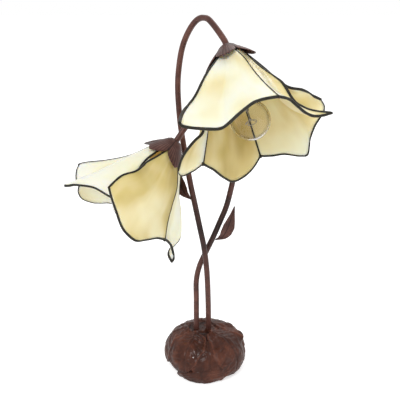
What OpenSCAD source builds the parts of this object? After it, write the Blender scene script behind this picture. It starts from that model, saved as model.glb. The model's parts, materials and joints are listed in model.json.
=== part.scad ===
// Two-light table lamp: two drooping leaded-glass flowers on two crossing bent stems
// that rise from a bun-shaped cast base of overlapping leaves.
// Frame: origin at the centre of the base on the surface it stands on, +Z up,
// +X to the right and -Y towards the front. Millimetres.

/* [Base] */
// Radius of the leaf mound at its widest, before the leaves are raised on it
base_r = 70; // [60:1:85]
// Height of the crown of the mound, where the stems enter
base_h = 72; // [60:1:84]
// How far a leaf stands proud of the mound
leaf_proud = 4; // [2:0.5:6]
// Radius of the felt foot
felt_r = 57; // [50:1:58]

/* [Stems] */
// Outer diameter of the bent tubes
tube_d = 9.8; // [8:0.1:12]
// Inner diameter of the bent tubes, for the wires
tube_id = 7; // [5:0.1:8]

/* [Upper flower] */
// Direction its mouth points to, around Z
upper_az = -67; // [-90:1:-40]
// Angle of its axis from straight down
upper_inc = 42; // [20:1:60]

/* [Lower flower] */
// Direction its mouth points to, around Z
lower_az = -157.8; // [-180:0.1:-120]
// Angle of its axis from straight down
lower_inc = 40.3; // [20:0.1:60]

/* [Glass] */
// Thickness of the bent glass petals
glass_t = 2.8; // [2:0.1:3.5]
// Thickness of the lead around the petals
lead_t = 4.4; // [3.2:0.1:5]
// Width of the lead along the rims
rim_w = 4.2; // [2.5:0.1:5]
// Width of each petal's half of a soldered seam
seam_w = 1.2; // [0.8:0.1:2]

/* [Bulb] */
// Radius of the globe
globe_r = 30; // [24:0.5:30]
// Globe centre, measured along the flower's axis
globe_at = 120; // [115:1:124]

/* [Hidden] */
$fn = 64;
// Centre of the two stems on the crown
boss_x = -5.5;
// Half the distance between the stems where they enter the base
stem_half = 11;
// Stem hole clearance radius
stem_hole_r = tube_d / 2 + 0.2;
// Flat underside of the crown
crown_under = base_h - 6;
// Point where the upper stem enters its flower, and the turn of the petals about the axis
upper_at = [32.4, -50, 578.4];
upper_roll = -34.6;
// The same for the lower flower
lower_at = [-54.7, 0, 416.8];
lower_roll = 25.2;
// Slope of the glass where it meets the shade collar: outward run and fall
seat = [6, 7] / norm([6, 7]);
seat_r = 18.05;
seat_z = 8;
// Facets across and along a petal
across = 10;
along = 8;

bronze = [0.36, 0.24, 0.2];
dark_bronze = [0.27, 0.15, 0.12];
brass = [0.78, 0.62, 0.32];
steel = [0.6, 0.6, 0.62];
lead = [0.18, 0.17, 0.15];
glass = [0.93, 0.89, 0.74];
clear_glass = [0.95, 0.96, 0.97, 0.4];
ceramic = [0.92, 0.9, 0.85];

// ---- curves ------------------------------------------------------------------------------

// Point of a curve given as angle about the axis, radius and height
function polar(p) = [p[1] * cos(p[0]), p[1] * sin(p[0]), p[2]];
// The points with one more at each end, for the tangents there
function padded(p) = concat([2 * p[0] - p[1]], p, [2 * p[len(p) - 1] - p[len(p) - 2]]);
// Smooth curve between points i + 1 and i + 2 of a padded list
function smooth(q, i, t) = 0.5 * (2 * q[i + 1] + (q[i + 2] - q[i]) * t
    + (2 * q[i] - 5 * q[i + 1] + 4 * q[i + 2] - q[i + 3]) * t * t
    + (3 * q[i + 1] - q[i] - 3 * q[i + 2] + q[i + 3]) * t * t * t);
// Running length along a list of points in space
function run(p, i = 0, s = 0) = i == len(p) - 1 ? [s]
    : concat([s], run(p, i + 1, s + norm(p[i + 1] - p[i])));
// n + 1 points spread evenly along the smooth curve; k holds the running lengths
function spread(p, k, n) = let (q = padded(p), last = len(k) - 1) [
    for (j = [0 : n])
        let (x = min(j / n * k[last], k[last] - 1e-6),
             i = max([for (m = [0 : last - 1]) if (k[m] <= x) m]),
             t = (x - k[i]) / (k[i + 1] - k[i]))
            smooth(q, i, t)
];
function even(p, n) = spread(p, run([for (q = p) polar(q)]), n);
function even_space(p, n) = spread(p, run(p), n);
function unit(v) = v / norm(v);
// Value of a list at the fraction s of its length
function pick(a, s) = let (x = s * (len(a) - 1), i = min(floor(x), len(a) - 2), t = x - i)
    a[i] * (1 - t) + a[i + 1] * t;
function turned(p, d) = [for (q = p) q + [d, 0, 0]];
// A side edge of a petal: every one leaves the collar on the same slope
function edge(angle, p) = concat([[angle, seat_r, seat_z], [angle, seat_r + 6, seat_z + 7]], p);

// ---- glass petals and their lead -----------------------------------------------------------

// A petal is [first side edge, second side edge, rim, first side free, second side free]
UP_FAR_SEAM = edge(357, [[357, 50, 46], [357, 70, 95], [357, 97, 148]]);
UP_BACK_SEAM = edge(62, [[62, 50, 46], [62, 70, 95], [62, 97, 143]]);
UP_NEAR_SEAM = edge(216, [[215, 40, 40], [215, 50, 62], [215, 60, 82], [214, 74, 108], [216, 99, 140]]);
UP_PETALS = [
    [turned(UP_FAR_SEAM, -360), UP_BACK_SEAM,
        [[-3, 97, 148], [10, 95, 157], [25, 106, 165], [33, 114, 168], [41, 116, 165],
         [51, 110, 157], [62, 97, 143]], 0, 0],
    [UP_BACK_SEAM, edge(158, [[158, 42, 48], [158, 56, 76], [157, 68, 91], [152, 84, 97],
         [141, 99, 101], [136, 115, 108]]),
        [[62, 97, 143], [72, 99, 148], [83, 104, 152], [93, 115, 162], [98, 120, 164],
         [104, 115, 155], [109, 112, 146], [120, 109, 137], [128, 124, 119], [136, 115, 108]], 0, 1],
    [edge(170, [[168, 40, 48], [166, 57, 74], [169, 66, 91], [163, 70, 116], [164, 80, 133],
         [166, 94, 147], [165, 117, 160]]), UP_NEAR_SEAM,
        [[165, 117, 160], [168, 104, 161], [173, 92, 159], [182, 87, 154], [193, 89, 149],
         [203, 93, 142], [216, 99, 140]], 1, 0],
    [UP_NEAR_SEAM, edge(288, [[288, 60, 48], [295, 84, 80], [291, 115, 108], [284, 140, 136]]),
        [[216, 99, 140], [234, 97, 140], [245, 95, 145], [262, 92, 154], [270, 100, 158],
         [280, 117, 150], [285, 133, 142], [284, 140, 136]], 0, 1],
    [edge(312, [[312, 50, 45], [318, 66, 90], [322, 70, 118], [322, 87, 130], [333, 111, 141],
         [343, 126, 150]]), UP_FAR_SEAM,
        [[343, 126, 150], [348, 129, 157], [353, 113, 154], [357, 97, 148]], 1, 0]
];
LOW_FRONT_SEAM = edge(36, [[28, 50, 50], [28, 64, 81], [32, 78, 105], [35, 97, 130]]);
LOW_TOP_SEAM = edge(200, [[199, 50, 58], [191, 74, 87], [186, 98, 110], [186, 106, 120]]);
LOW_FAR_SEAM = edge(272, [[272, 50, 50], [272, 74, 98], [272, 97, 143]]);
LOW_PETALS = [
    [edge(8, [[6, 38, 34], [5, 56, 64], [5, 76, 84], [4.5, 93, 106], [5, 101, 119], [8, 101, 132],
         [11, 100, 142], [14, 104, 151], [14, 117, 157]]), LOW_FRONT_SEAM,
        [[14, 117, 157], [14, 117, 148], [15, 110, 141], [19, 102, 134], [26, 97, 131],
         [35, 97, 130]], 1, 0],
    [LOW_FRONT_SEAM, edge(104, [[111, 48, 43], [109, 62, 55], [108, 78, 67], [112, 97, 84],
         [111, 115, 110]]),
        [[35, 97, 130], [48, 100, 134], [60, 108, 144], [69, 117, 152], [78, 119, 151],
         [85, 120, 146], [95, 119, 132], [104, 117, 120], [111, 115, 110]], 0, 1],
    [edge(114, [[114, 45, 42], [107, 63, 70], [103, 80, 98], [104, 92, 122]]), LOW_TOP_SEAM,
        [[104, 92, 122], [112, 96, 124], [122, 98, 126], [130, 100, 130], [143, 107, 143],
         [149, 110, 151], [154, 113, 157], [161, 102, 152], [168, 93, 144], [176, 98, 136],
         [182, 103, 129], [186, 106, 120]], 1, 0],
    [LOW_TOP_SEAM, LOW_FAR_SEAM,
        [[186, 106, 120], [200, 95, 138], [216, 107, 160], [223, 112, 168], [232, 116, 173],
         [242, 112, 168], [247, 104, 160], [254, 98, 150], [272, 97, 143]], 0, 0],
    [LOW_FAR_SEAM, edge(352, [[350, 38, 34], [350, 60, 64], [350, 80, 92], [349, 96, 118]]),
        [[272, 97, 143], [286, 100, 148], [300, 106, 152], [314, 107, 148], [328, 102, 136],
         [340, 98, 124], [349, 96, 118]], 0, 1]
];

// Point of a petal: u across, v from the collar to the rim. c = [side, side, rim, root] lists
function petal_at(c, u, v) = let (a = pick(c[0], v), b = pick(c[1], v), t = pick(c[2], u),
    r = pick(c[3], u)) (1 - u) * a + u * b + (1 - v) * r + v * t
    - (1 - u) * (1 - v) * c[3][0] - u * (1 - v) * c[3][len(c[3]) - 1]
    - (1 - u) * v * c[2][0] - u * v * c[2][len(c[2]) - 1];
function petal_curves(p) = let (a = even(p[0], 40), b = even(p[1], 40))
    [a, b, even(p[2], 40), [a[0], b[0]]];
function petal_xyz(c, u, v) = polar(petal_at(c, u, v));
// Fraction across of column i in row j, with the lead's width taken off each side
function column(c, p, i, v) = let (w = 1.1 * norm(petal_xyz(c, 0, v) - petal_xyz(c, 1, v)),
    lo = (p[3] == 1 ? rim_w : seam_w) / w, hi = 1 - (p[4] == 1 ? rim_w : seam_w) / w)
    i == 0 ? 0 : i == across ? 1 : lo + (hi - lo) * (i - 1) / (across - 2);
function row(c, j, u) = let (h = 1.15 * norm(petal_xyz(c, u, 1) - petal_xyz(c, u, 0)))
    j == along ? 1 : (1 - rim_w / h) * j / (along - 1);
function petal_grid(p) = let (c = petal_curves(p)) [
    for (j = [0 : along]) [
        for (i = [0 : across])
            let (v = row(c, j, i / across), u = column(c, p, i, v)) petal_xyz(c, u, v)
    ]
];
// Outward direction of the glass. On a seam it lies in the plane of the axis, so the two
// petals that share the seam agree on it.
function across_dir(x) = unit([-x[1], x[0], 0]);
function petal_out(g, p, i, j) = let (x = g[j][i],
    up = unit(g[min(j + 1, along)][i] - g[max(j - 1, 0)][i]),
    side = g[j][min(i + 1, across)] - g[j][max(i - 1, 0)],
    shared = (i == 0 && p[3] == 0) || (i == across && p[4] == 0))
    j == 0 ? unit(unit([x[0], x[1], 0]) * seat[1] - [0, 0, seat[0]])
    : unit(cross(shared ? across_dir(x) : unit(side), up));

// The lead takes the border cells of a petal's grid and the glass takes the rest
function keep(part, i, j) = let (edge_cell = i == 0 || i == across - 1 || j == along - 1)
    part == "lead" ? edge_cell : !edge_cell;
function inside(i, j) = i >= 0 && i < across && j >= 0 && j < along;
function kept(part, i, j) = inside(i, j) && keep(part, i, j);
// Heights of the vertices at a grid point, from the outer face to the inner face. The lead
// also has the heights of the glass, so that its wall against the glass has the same faces.
function levels(part) = part == "lead" ? [lead_t / 2, glass_t / 2, -glass_t / 2, -lead_t / 2]
    : [glass_t / 2, -glass_t / 2];
function vertex(a, s, n) = n * (a[1] * (across + 1) + a[0]) + s;
function before(a, b) = a[1] < b[1] || (a[1] == b[1] && a[0] < b[0]);
// Two faces between grid points a and b, from level k to level m, cut along the same diagonal
// from both sides
function band(a, b, k, m, n) = before(a, b) ? [
        [vertex(a, k, n), vertex(b, k, n), vertex(b, m, n)],
        [vertex(a, k, n), vertex(b, m, n), vertex(a, m, n)]
    ] : [
        [vertex(a, k, n), vertex(b, k, n), vertex(a, m, n)],
        [vertex(b, k, n), vertex(b, m, n), vertex(a, m, n)]
    ];
// Wall of a cell from grid point a to b, with the neighbouring cell beyond it
function wall(a, b, beyond, n) =
    n == 2 ? band(a, b, 0, 1, 2)
    : inside(beyond[0], beyond[1]) ? [for (k = [0 : 2]) each band(a, b, k, k + 1, 4)]
    : beyond[1] < 0 && a[0] == 0 ? [
        for (k = [0 : 2]) [vertex(a, 0, 4), vertex(b, k, 4), vertex(b, k + 1, 4)],
        [vertex(a, 0, 4), vertex(b, 3, 4), vertex(a, 3, 4)]
    ]
    : beyond[1] < 0 ? [
        for (k = [0 : 2]) [vertex(a, k, 4), vertex(b, 0, 4), vertex(a, k + 1, 4)],
        [vertex(b, 0, 4), vertex(b, 3, 4), vertex(a, 3, 4)]
    ]
    : band(a, b, 0, 3, 4);
module petal_shell(p, part) {
    g = petal_grid(p);
    h = levels(part);
    n = len(h);
    pts = [for (j = [0 : along]) for (i = [0 : across]) let (out = petal_out(g, p, i, j))
        for (s = h) g[j][i] + s * out];
    polyhedron(pts, [
        for (j = [0 : along - 1]) for (i = [0 : across - 1]) if (kept(part, i, j))
            let (a = [i, j], b = [i + 1, j], c = [i + 1, j + 1], d = [i, j + 1]) each concat(
                [for (f = [[a, c, b], [a, d, c]]) [for (x = f) vertex(x, 0, n)]],
                [for (f = [[a, b, c], [a, c, d]]) [for (x = f) vertex(x, n - 1, n)]],
                [for (w = [[a, b, [i, j - 1]], [b, c, [i + 1, j]], [c, d, [i, j + 1]],
                           [d, a, [i - 1, j]]])
                    if (!kept(part, w[2][0], w[2][1])) each wall(w[0], w[1], w[2], n)]
            )
    ], convexity = 8);
}

module at_upper() {
    translate(upper_at)
        rotate([0, 180 - upper_inc, upper_az])
            rotate([0, 0, upper_roll])
                children();
}

module at_lower() {
    translate(lower_at)
        rotate([0, 180 - lower_inc, lower_az])
            rotate([0, 0, lower_roll])
                children();
}

module petal(p) {
    color(glass)
        petal_shell(p, "glass");
}

module petal_lead(p) {
    color(lead)
        petal_shell(p, "lead");
}

// ---- flower fittings, all about their own +Z axis, which points out of the mouth ------------

// Five pointed sepals on a hollow cap. Each column of the mesh is a closed section.
SEPAL = [-0.8, -0.5, -0.22, 0, 0.22, 0.5, 0.8, 1];
function sepal_in(r) = 6 + (r - 20.5) * 0.98;
function sepal_section(x) = let (reach = 25 + 18 * pow(1 - abs(x), 0.6), rib = 0.9 * (1 - abs(x)),
    a = 18 + (reach - 18) * 0.35, b = 18 + (reach - 18) * 0.7) [
        [reach, sepal_in(reach) - 1.2], [b, sepal_in(b) - 2.4 - rib], [a, sepal_in(a) - 2.8 - rib],
        [18, sepal_in(18) - 2.9 - rib], [13.5, -5.2], [9.5, -8.6], [7, -9.6], [5.2, -9.6],
        [5.2, 6.8], [8, 6.8], [8, -4], [12.5, -2], [18, sepal_in(18)], [b, sepal_in(b)],
        [reach, sepal_in(reach)]
    ];
module calyx(turn) {
    cols = 40;
    rows = 15;
    pts = [for (k = [0 : 4]) for (m = [0 : 7])
        for (q = sepal_section(SEPAL[m]))
            polar([turn + 72 * k + 36 * SEPAL[m], q[0], q[1]])];
    color(bronze)
        polyhedron(pts, [
            for (c = [0 : cols - 1]) for (r = [0 : rows - 1])
                let (a = c * rows + r, b = c * rows + (r + 1) % rows,
                     d = ((c + 1) % cols) * rows + r, e = ((c + 1) % cols) * rows + (r + 1) % rows)
                    for (f = [[a, e, b], [a, d, e]]) f
        ], convexity = 6);
}

// Spun disc that the petals are soldered to; its bevelled edge meets the glass square on
module collar() {
    color(brass)
        rotate_extrude()
            polygon([[stem_hole_r, 7], [seat_r + 0.95, 7.1], [seat_r - 1.1, 8.9], [12, 8.9],
                     [12, 10.4], [stem_hole_r, 10.4]]);
}

module lock_nut(z) {
    translate([0, 0, z])
        difference() {
            cylinder(h = 3.6, r = 8.6, $fn = 6);
            translate([0, 0, -1])
                cylinder(h = 6, r = stem_hole_r);
        }
}

module lock_nuts() {
    color(brass) {
        lock_nut(10.5);
        lock_nut(17);
    }
}

module holder_cap() {
    color(brass)
        rotate_extrude()
            polygon([[stem_hole_r, 14.2], [13, 14.2], [15.5, 15.6], [17.6, 19], [17.6, 42], [16.1, 42],
                     [16.1, 20], [14.4, 17.2], [12.8, 16.9], [stem_hole_r, 16.9]]);
}

module holder_body() {
    color(ceramic)
        difference() {
            union() {
                translate([0, 0, 36])
                    cylinder(h = 7, r = 16);
                translate([0, 0, 42.1])
                    cylinder(h = 38, r = 17.6);
                for (z = [48, 72])
                    translate([0, 0, z])
                        cylinder(h = 3, r = 18.4);
            }
            translate([0, 0, 35])
                cylinder(h = 50, r = 13.4);
        }
}

module insulator() {
    color(ceramic)
        difference() {
            translate([0, 0, 38])
                cylinder(h = 6, r = 13.3);
            translate([0, 0, 37])
                cylinder(h = 8, r = 2.1);
            for (s = [-1, 1])
                translate([s * 8, 0, 37])
                    cylinder(h = 8, r = 1.6);
        }
}

module contact() {
    color(brass) {
        translate([0, 0, 36])
            cylinder(h = 9, r = 2);
        translate([0, 0, 44.1])
            cylinder(h = 1.2, r = 5);
        translate([0, 0, 45])
            cylinder(h = globe_at - 74.6 - 34, r1 = 4, r2 = 3);
    }
}

// Screw cap of the bulb with rolled thread ridges and its centre contact
module bulb_cap() {
    color(brass)
        rotate_extrude()
            polygon(concat([[0, 57], [3.4, 57], [3.8, 58.2], [8, 60.4], [11.8, 61.2]],
                [for (k = [0 : 4]) for (q = [[12, 62.4], [13, 64.2]]) q + [0, 3.6 * k]],
                [[12, 80.4], [12, 84], [13, 85], [13, 87.2], [11.5, 87.2], [0, 87.2]]));
}

module bulb_glass() {
    color(clear_glass)
        difference() {
            union() {
                translate([0, 0, globe_at])
                    sphere(r = globe_r);
                translate([0, 0, 87.3])
                    cylinder(h = 12, r1 = 11.6, r2 = 18.5);
            }
            translate([0, 0, globe_at])
                sphere(r = globe_r - 1);
            translate([0, 0, 86.5])
                cylinder(h = 13, r1 = 10.2, r2 = 17.5);
        }
}

// Glass mount, two leads, a hoop of filament and the supports that carry it
module filament() {
    color(steel) {
        translate([0, 0, 87.3])
            cylinder(h = 17, r1 = 4.5, r2 = 2.6);
        translate([0, 0, 104])
            cylinder(h = 14, r = 1.2);
        translate([0, 0, 118])
            sphere(r = 1.9);
        translate([0, 0, 124])
            rotate([0, 0, 20])
                rotate_extrude(angle = 320)
                    translate([8.5, 0])
                        circle(r = 0.5, $fn = 16);
        for (t = [20, 130, 250, 340])
            rotate([0, 0, t])
                translate([0, 0, 118])
                    rotate([0, atan2(8.5, 6), 0])
                        cylinder(h = norm([8.5, 6]), r = 0.45, $fn = 16);
    }
}

// ---- stems and their leaves ------------------------------------------------------------------

// Points of the tubes' centre lines, then the straight ends inside the flowers
function axis_of(az, inc) = [sin(inc) * cos(az), sin(inc) * sin(az), -cos(inc)];
TALL = concat([
    [5.5, 0, 46], [5.5, 0, 72], [4.5, -5, 132], [2, -8, 190], [-3, -8.5, 235], [-10, -5, 270],
    [-18.5, 3, 310], [-26, 13, 343], [-33, 24, 380], [-39, 33, 415], [-44, 39, 450],
    [-47, 43, 500], [-45, 43, 536], [-38.5, 38, 572], [-27, 29, 600], [-14, 17, 617.5],
    [-1, 3, 621.5], [9.5, -12, 614.5]],
    [for (s = [-18, 4, 24]) upper_at + s * axis_of(upper_az, upper_inc)]);
SHORT = concat([
    [-16.5, 0, 46], [-16.5, 0, 72], [-16.5, 4, 128], [-16.5, 6, 165], [-11, 7, 193], [0.5, 7, 221],
    [12.5, 7, 248], [25, 7, 279], [35, 8, 305], [42, 10, 333], [47, 12, 360], [48.5, 15, 392],
    [44, 18, 428], [31, 19.5, 459], [11, 18, 474], [-10, 14, 470], [-30, 8.5, 450]],
    [for (s = [-12, 6, 24]) lower_at + s * axis_of(lower_az, lower_inc)]);

// A bent tube of n stations: rings of points outside, and every second ring inside
module bent_tube(path, n, sides) {
    c = even_space(path, n);
    dir = [for (i = [0 : n]) unit(c[min(i + 1, n)] - c[max(i - 1, 0)])];
    side = [for (i = [0 : n]) unit(cross(dir[i], [0.25, 1, 0.1]))];
    function ring(i, r) = [for (k = [0 : sides - 1])
        c[i] + r * (side[i] * cos(360 * k / sides) + cross(dir[i], side[i]) * sin(360 * k / sides))];
    half = n / 2;
    pts = concat([for (i = [0 : n]) for (q = ring(i, tube_d / 2)) q],
                 [for (i = [0 : half]) for (q = ring(2 * i, tube_id / 2)) q]);
    inner = (n + 1) * sides;
    end_out = n * sides;
    end_in = inner + half * sides;
    polyhedron(pts, concat(
        [for (i = [0 : n - 1]) for (k = [0 : sides - 1])
            let (a = i * sides + k, b = i * sides + (k + 1) % sides)
                for (f = [[a, b + sides, b], [a, a + sides, b + sides]]) f],
        [for (i = [0 : half - 1]) for (k = [0 : sides - 1])
            let (a = inner + i * sides + k, b = inner + i * sides + (k + 1) % sides)
                for (f = [[a, b, b + sides], [a, b + sides, a + sides]]) f],
        [for (k = [0 : sides - 1]) let (m = (k + 1) % sides)
            for (f = [[k, m, inner + m], [k, inner + m, inner + k],
                      [end_out + k, end_in + m, end_out + m], [end_out + k, end_in + k, end_in + m]])
                f]
    ), convexity = 12);
}

module tall_stem() {
    color(bronze)
        bent_tube(TALL, 46, 10);
}

module short_stem() {
    color(bronze)
        bent_tube(SHORT, 40, 10);
}

// A leaf folded about its midrib: points of the midrib, half width and fold at each
function leaf_row(q, w, fold, flat, lift) = [for (x = [-1, -0.55, 0, 0.55, 1])
    q + x * w * flat + abs(x) * w * fold * lift];
module leaf(rib, width, fold, flat, lift, half) {
    n = 8;
    c = even_space(rib, n);
    w = [for (k = [0 : n]) pick(width, k / n)];
    g = [for (k = [0 : n]) leaf_row(c[k], w[k], fold, flat, lift)];
    pts = [for (s = [1, -1]) for (k = [0 : n]) for (m = [0 : 4]) g[k][m] + s * half * lift];
    function at(k, m, s) = s * 5 * (n + 1) + k * 5 + m;
    color(bronze)
        polyhedron(pts, concat(
            [for (k = [0 : n - 1]) for (m = [0 : 3])
                for (f = [[at(k, m, 0), at(k + 1, m + 1, 0), at(k, m + 1, 0)],
                          [at(k, m, 0), at(k + 1, m, 0), at(k + 1, m + 1, 0)],
                          [at(k, m, 1), at(k, m + 1, 1), at(k + 1, m + 1, 1)],
                          [at(k, m, 1), at(k + 1, m + 1, 1), at(k + 1, m, 1)]]) f],
            [for (k = [0 : n - 1])
                for (f = [[at(k, 0, 0), at(k, 0, 1), at(k + 1, 0, 1)],
                          [at(k, 0, 0), at(k + 1, 0, 1), at(k + 1, 0, 0)],
                          [at(k, 4, 0), at(k + 1, 4, 1), at(k, 4, 1)],
                          [at(k, 4, 0), at(k + 1, 4, 0), at(k + 1, 4, 1)]]) f],
            [for (m = [0 : 3])
                for (f = [[at(0, m, 0), at(0, m + 1, 0), at(0, m + 1, 1)],
                          [at(0, m, 0), at(0, m + 1, 1), at(0, m, 1)],
                          [at(n, m, 0), at(n, m + 1, 1), at(n, m + 1, 0)],
                          [at(n, m, 0), at(n, m, 1), at(n, m + 1, 1)]]) f]
        ), convexity = 4);
}

module short_leaf() {
    leaf([[16.6, 5.8, 244], [29, 1, 252], [38, -3, 272], [44, -5, 292], [48.5, -4, 310]],
         [1.2, 6, 9.5, 10, 7, 3.5, 0.8], 0.45, unit([0.86, 0, -0.35]), [0.3, -0.9, 0.3], 1.1);
}

module tall_leaf() {
    leaf([[-25, 3, 320], [-36, 8, 329], [-44, 20, 343], [-48, 27, 358.5], [-53, 33, 372.5]],
         [1.2, 6, 9.5, 10, 7, 3.5, 0.8], 0.45, unit([0.9, 0, 0.35]), [-0.3, -0.9, 0.3], 1.1);
}

// ---- base ----------------------------------------------------------------------------------

// Profile of the mound from the foot to the crown, as radius and height
MOUND = [[59, 2], [63, 7], [68, 15], [70, 25], [69.5, 35], [66, 45], [60, 54], [51, 61.5],
         [41, 66.5], [32, 69.5], [26, 71]];
// Leaves as [angle, half angle, start and end along the profile, lift], the last on top
LEAVES = [[92, 44, 0.02, 0.98, 0], [148, 42, 0.04, 0.98, 0.6], [30, 42, 0.2, 0.98, 0.8],
          [188, 42, 0.1, 0.98, 1.2], [-40, 46, 0.03, 0.98, 1.6], [-94, 46, -0.15, 0.34, 1],
          [-118, 37, 0.2, 0.98, 2.4]];
function fold_angle(a) = a > 180 ? a - 360 : a < -180 ? a + 360 : a;
function leaf_height(l, angle, s) = let (q = (s - l[2]) / (l[3] - l[2]),
    w = 1.58 * l[1] * pow(max(0, q), 0.45) * pow(max(0, 1 - q), 0.25) + 0.01,
    x = abs(fold_angle(angle - l[0])) / w)
    q <= 0 || q >= 1 || x >= 1 ? 0
    : l[4] * 0.6 + leaf_proud * (0.35 + 0.65 * (1 - x * x)) - (x < 0.12 ? 0.9 : 0);
function relief(angle, s) = max([for (l = LEAVES) leaf_height(l, angle, s)]);
columns = 72;
mound_rows = 15;
function mound_point(c, j) = let (angle = 360 * c / columns, s = j / mound_rows,
    m = pick(MOUND, s), t = pick(MOUND, min(1, s + 0.04)) - pick(MOUND, max(0, s - 0.04)),
    out = unit([t[1], -t[0]]), h = relief(angle, s) * min(1, 6 * (1 - s)),
    foot = s < 0.2 ? (1 - s / 0.2) * 6 * exp(-pow((fold_angle(angle + 98)) / 26, 2)) : 0,
    r = m[0] * base_r / 70 + foot + h * out[0])
    [r * cos(angle) + boss_x * max(0, min(1, (42 - m[0]) / 15)), r * sin(angle),
     max(2, (m[1] + h * out[1]) * base_h / 72)];
// The cable leaves through a notch at the rear of the rim
function notch(c) = abs(360 * c / columns - 90) < 8 ? 16 : 0;
// Inner face of the casting, from the crown down to the rim
HOLLOW = [[34, 66], [47, 60], [60, 46], [64, 28], [61, 14], [54, 2]];
module base_casting() {
    inner = mound_rows + 1;
    rows = inner + 2 + len(HOLLOW);
    pts = concat(
        [for (c = [0 : columns - 1]) let (p = mound_point(c, 0)) p + [0, 0, notch(c)]],
        [for (j = [1 : mound_rows]) for (c = [0 : columns - 1])
            let (p = mound_point(c, j)) [p[0], p[1], max(p[2], notch(c) > 0 ? 18 + j : 0)]],
        [for (r = [[22.4, base_h], [22.4, crown_under]]) for (c = [0 : columns - 1])
            [boss_x + r[0] * cos(360 * c / columns), r[0] * sin(360 * c / columns), r[1]]],
        [for (k = [0 : len(HOLLOW) - 1]) for (c = [0 : columns - 1])
            let (a = 360 * c / columns, h = HOLLOW[k])
                [h[0] * cos(a), h[0] * sin(a), (notch(c) > 0 && h[1] < 18) ? 18 + (h[1] - 2) / 6 : h[1]]]
    );
    color(dark_bronze)
        polyhedron(pts, [
            for (j = [0 : rows - 1]) for (c = [0 : columns - 1])
                let (a = j * columns + c, b = j * columns + (c + 1) % columns,
                     d = ((j + 1) % rows) * columns + c,
                     e = ((j + 1) % rows) * columns + (c + 1) % columns)
                    for (f = [[a, e, b], [a, d, e]]) f
        ], convexity = 8);
}

// Turned boss under the crown: it carries both stems and the posts for the plate screws
module stem_boss() {
    color(dark_bronze)
        difference() {
            union() {
                translate([boss_x, 0, crown_under - 6])
                    cylinder(h = 5.9, r = 27);
                translate([boss_x, 0, crown_under - 1])
                    cylinder(h = base_h + 1.5 - crown_under, r = 22);
                for (s = [-1, 1])
                    translate([boss_x, 20 * s, 4.6])
                        cylinder(h = crown_under - 8, r = 5);
            }
            for (s = [-1, 1]) {
                translate([boss_x + stem_half * s, 0, crown_under - 10])
                    cylinder(h = 30, r = stem_hole_r);
                translate([boss_x, 20 * s, 0])
                    cylinder(h = 20, r = 2.1);
            }
        }
}

module base_plate() {
    color(steel)
        difference() {
            translate([0, 0, 2.1])
                cylinder(h = 2.4, r = 53);
            for (s = [-1, 1])
                translate([boss_x, 20 * s, 0])
                    cylinder(h = 8, r = 2.3);
        }
}

module plate_screws() {
    color(steel)
        for (s = [-1, 1])
            translate([boss_x, 20 * s, 0]) {
                translate([0, 0, 0.6])
                    cylinder(h = 1.5, r = 4);
                translate([0, 0, 2])
                    cylinder(h = 14, r = 2);
            }
}

module felt_foot() {
    color([0.2, 0.26, 0.2])
        difference() {
            cylinder(h = 2, r = felt_r);
            for (s = [-1, 1])
                translate([boss_x, 20 * s, -1])
                    cylinder(h = 4, r = 5);
        }
}

module stem_washers() {
    color(steel)
        for (s = [-1, 1])
            translate([boss_x + stem_half * s, 0, crown_under - 7.8])
                difference() {
                    cylinder(h = 1.6, r = 9);
                    translate([0, 0, -1])
                        cylinder(h = 4, r = stem_hole_r);
                }
}

module stem_nuts() {
    color(steel)
        for (s = [-1, 1])
            translate([boss_x + stem_half * s, 0, crown_under - 14])
                difference() {
                    cylinder(h = 6, r = 9, $fn = 6);
                    translate([0, 0, -1])
                        cylinder(h = 8, r = stem_hole_r);
                }
}

// Cable inlet at the rear: a flanged bush on a flat foot
module cable_bush() {
    color([0.1, 0.1, 0.1])
        difference() {
            union() {
                translate([0, 46, 11])
                    rotate([-90, 0, 0])
                        cylinder(h = 18, r = 5);
                translate([-4, 46, 4.6])
                    cube([8, 5, 6]);
            }
            translate([0, 40, 11])
                rotate([-90, 0, 0])
                    cylinder(h = 30, r = 3.4);
        }
}

module terminal_block() {
    color(ceramic)
        difference() {
            translate([12, -12, 4.6])
                cube([14, 24, 12]);
            for (y = [-7, 0, 7]) {
                translate([10, y, 9])
                    rotate([0, 90, 0])
                        cylinder(h = 20, r = 1.6);
                translate([19, y, 12])
                    cylinder(h = 8, r = 1.9);
            }
        }
}

// ---- sub-parts --------------------------------------------------------------------------------

module upper_calyx() { at_upper() calyx(36); }
module upper_collar() { at_upper() collar(); }
module upper_lock_nuts() { at_upper() lock_nuts(); }
module upper_holder_cap() { at_upper() holder_cap(); }
module upper_holder_body() { at_upper() holder_body(); }
module upper_insulator() { at_upper() insulator(); }
module upper_contact() { at_upper() contact(); }
module upper_petal_1() { at_upper() petal(UP_PETALS[0]); }
module upper_petal_2() { at_upper() petal(UP_PETALS[1]); }
module upper_petal_3() { at_upper() petal(UP_PETALS[2]); }
module upper_petal_4() { at_upper() petal(UP_PETALS[3]); }
module upper_petal_5() { at_upper() petal(UP_PETALS[4]); }
module upper_lead_1() { at_upper() petal_lead(UP_PETALS[0]); }
module upper_lead_2() { at_upper() petal_lead(UP_PETALS[1]); }
module upper_lead_3() { at_upper() petal_lead(UP_PETALS[2]); }
module upper_lead_4() { at_upper() petal_lead(UP_PETALS[3]); }
module upper_lead_5() { at_upper() petal_lead(UP_PETALS[4]); }
module upper_bulb_glass() { at_upper() bulb_glass(); }
module upper_bulb_cap() { at_upper() bulb_cap(); }
module upper_filament() { at_upper() filament(); }
module lower_calyx() { at_lower() calyx(57); }
module lower_collar() { at_lower() collar(); }
module lower_lock_nuts() { at_lower() lock_nuts(); }
module lower_holder_cap() { at_lower() holder_cap(); }
module lower_holder_body() { at_lower() holder_body(); }
module lower_insulator() { at_lower() insulator(); }
module lower_contact() { at_lower() contact(); }
module lower_petal_1() { at_lower() petal(LOW_PETALS[0]); }
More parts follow.
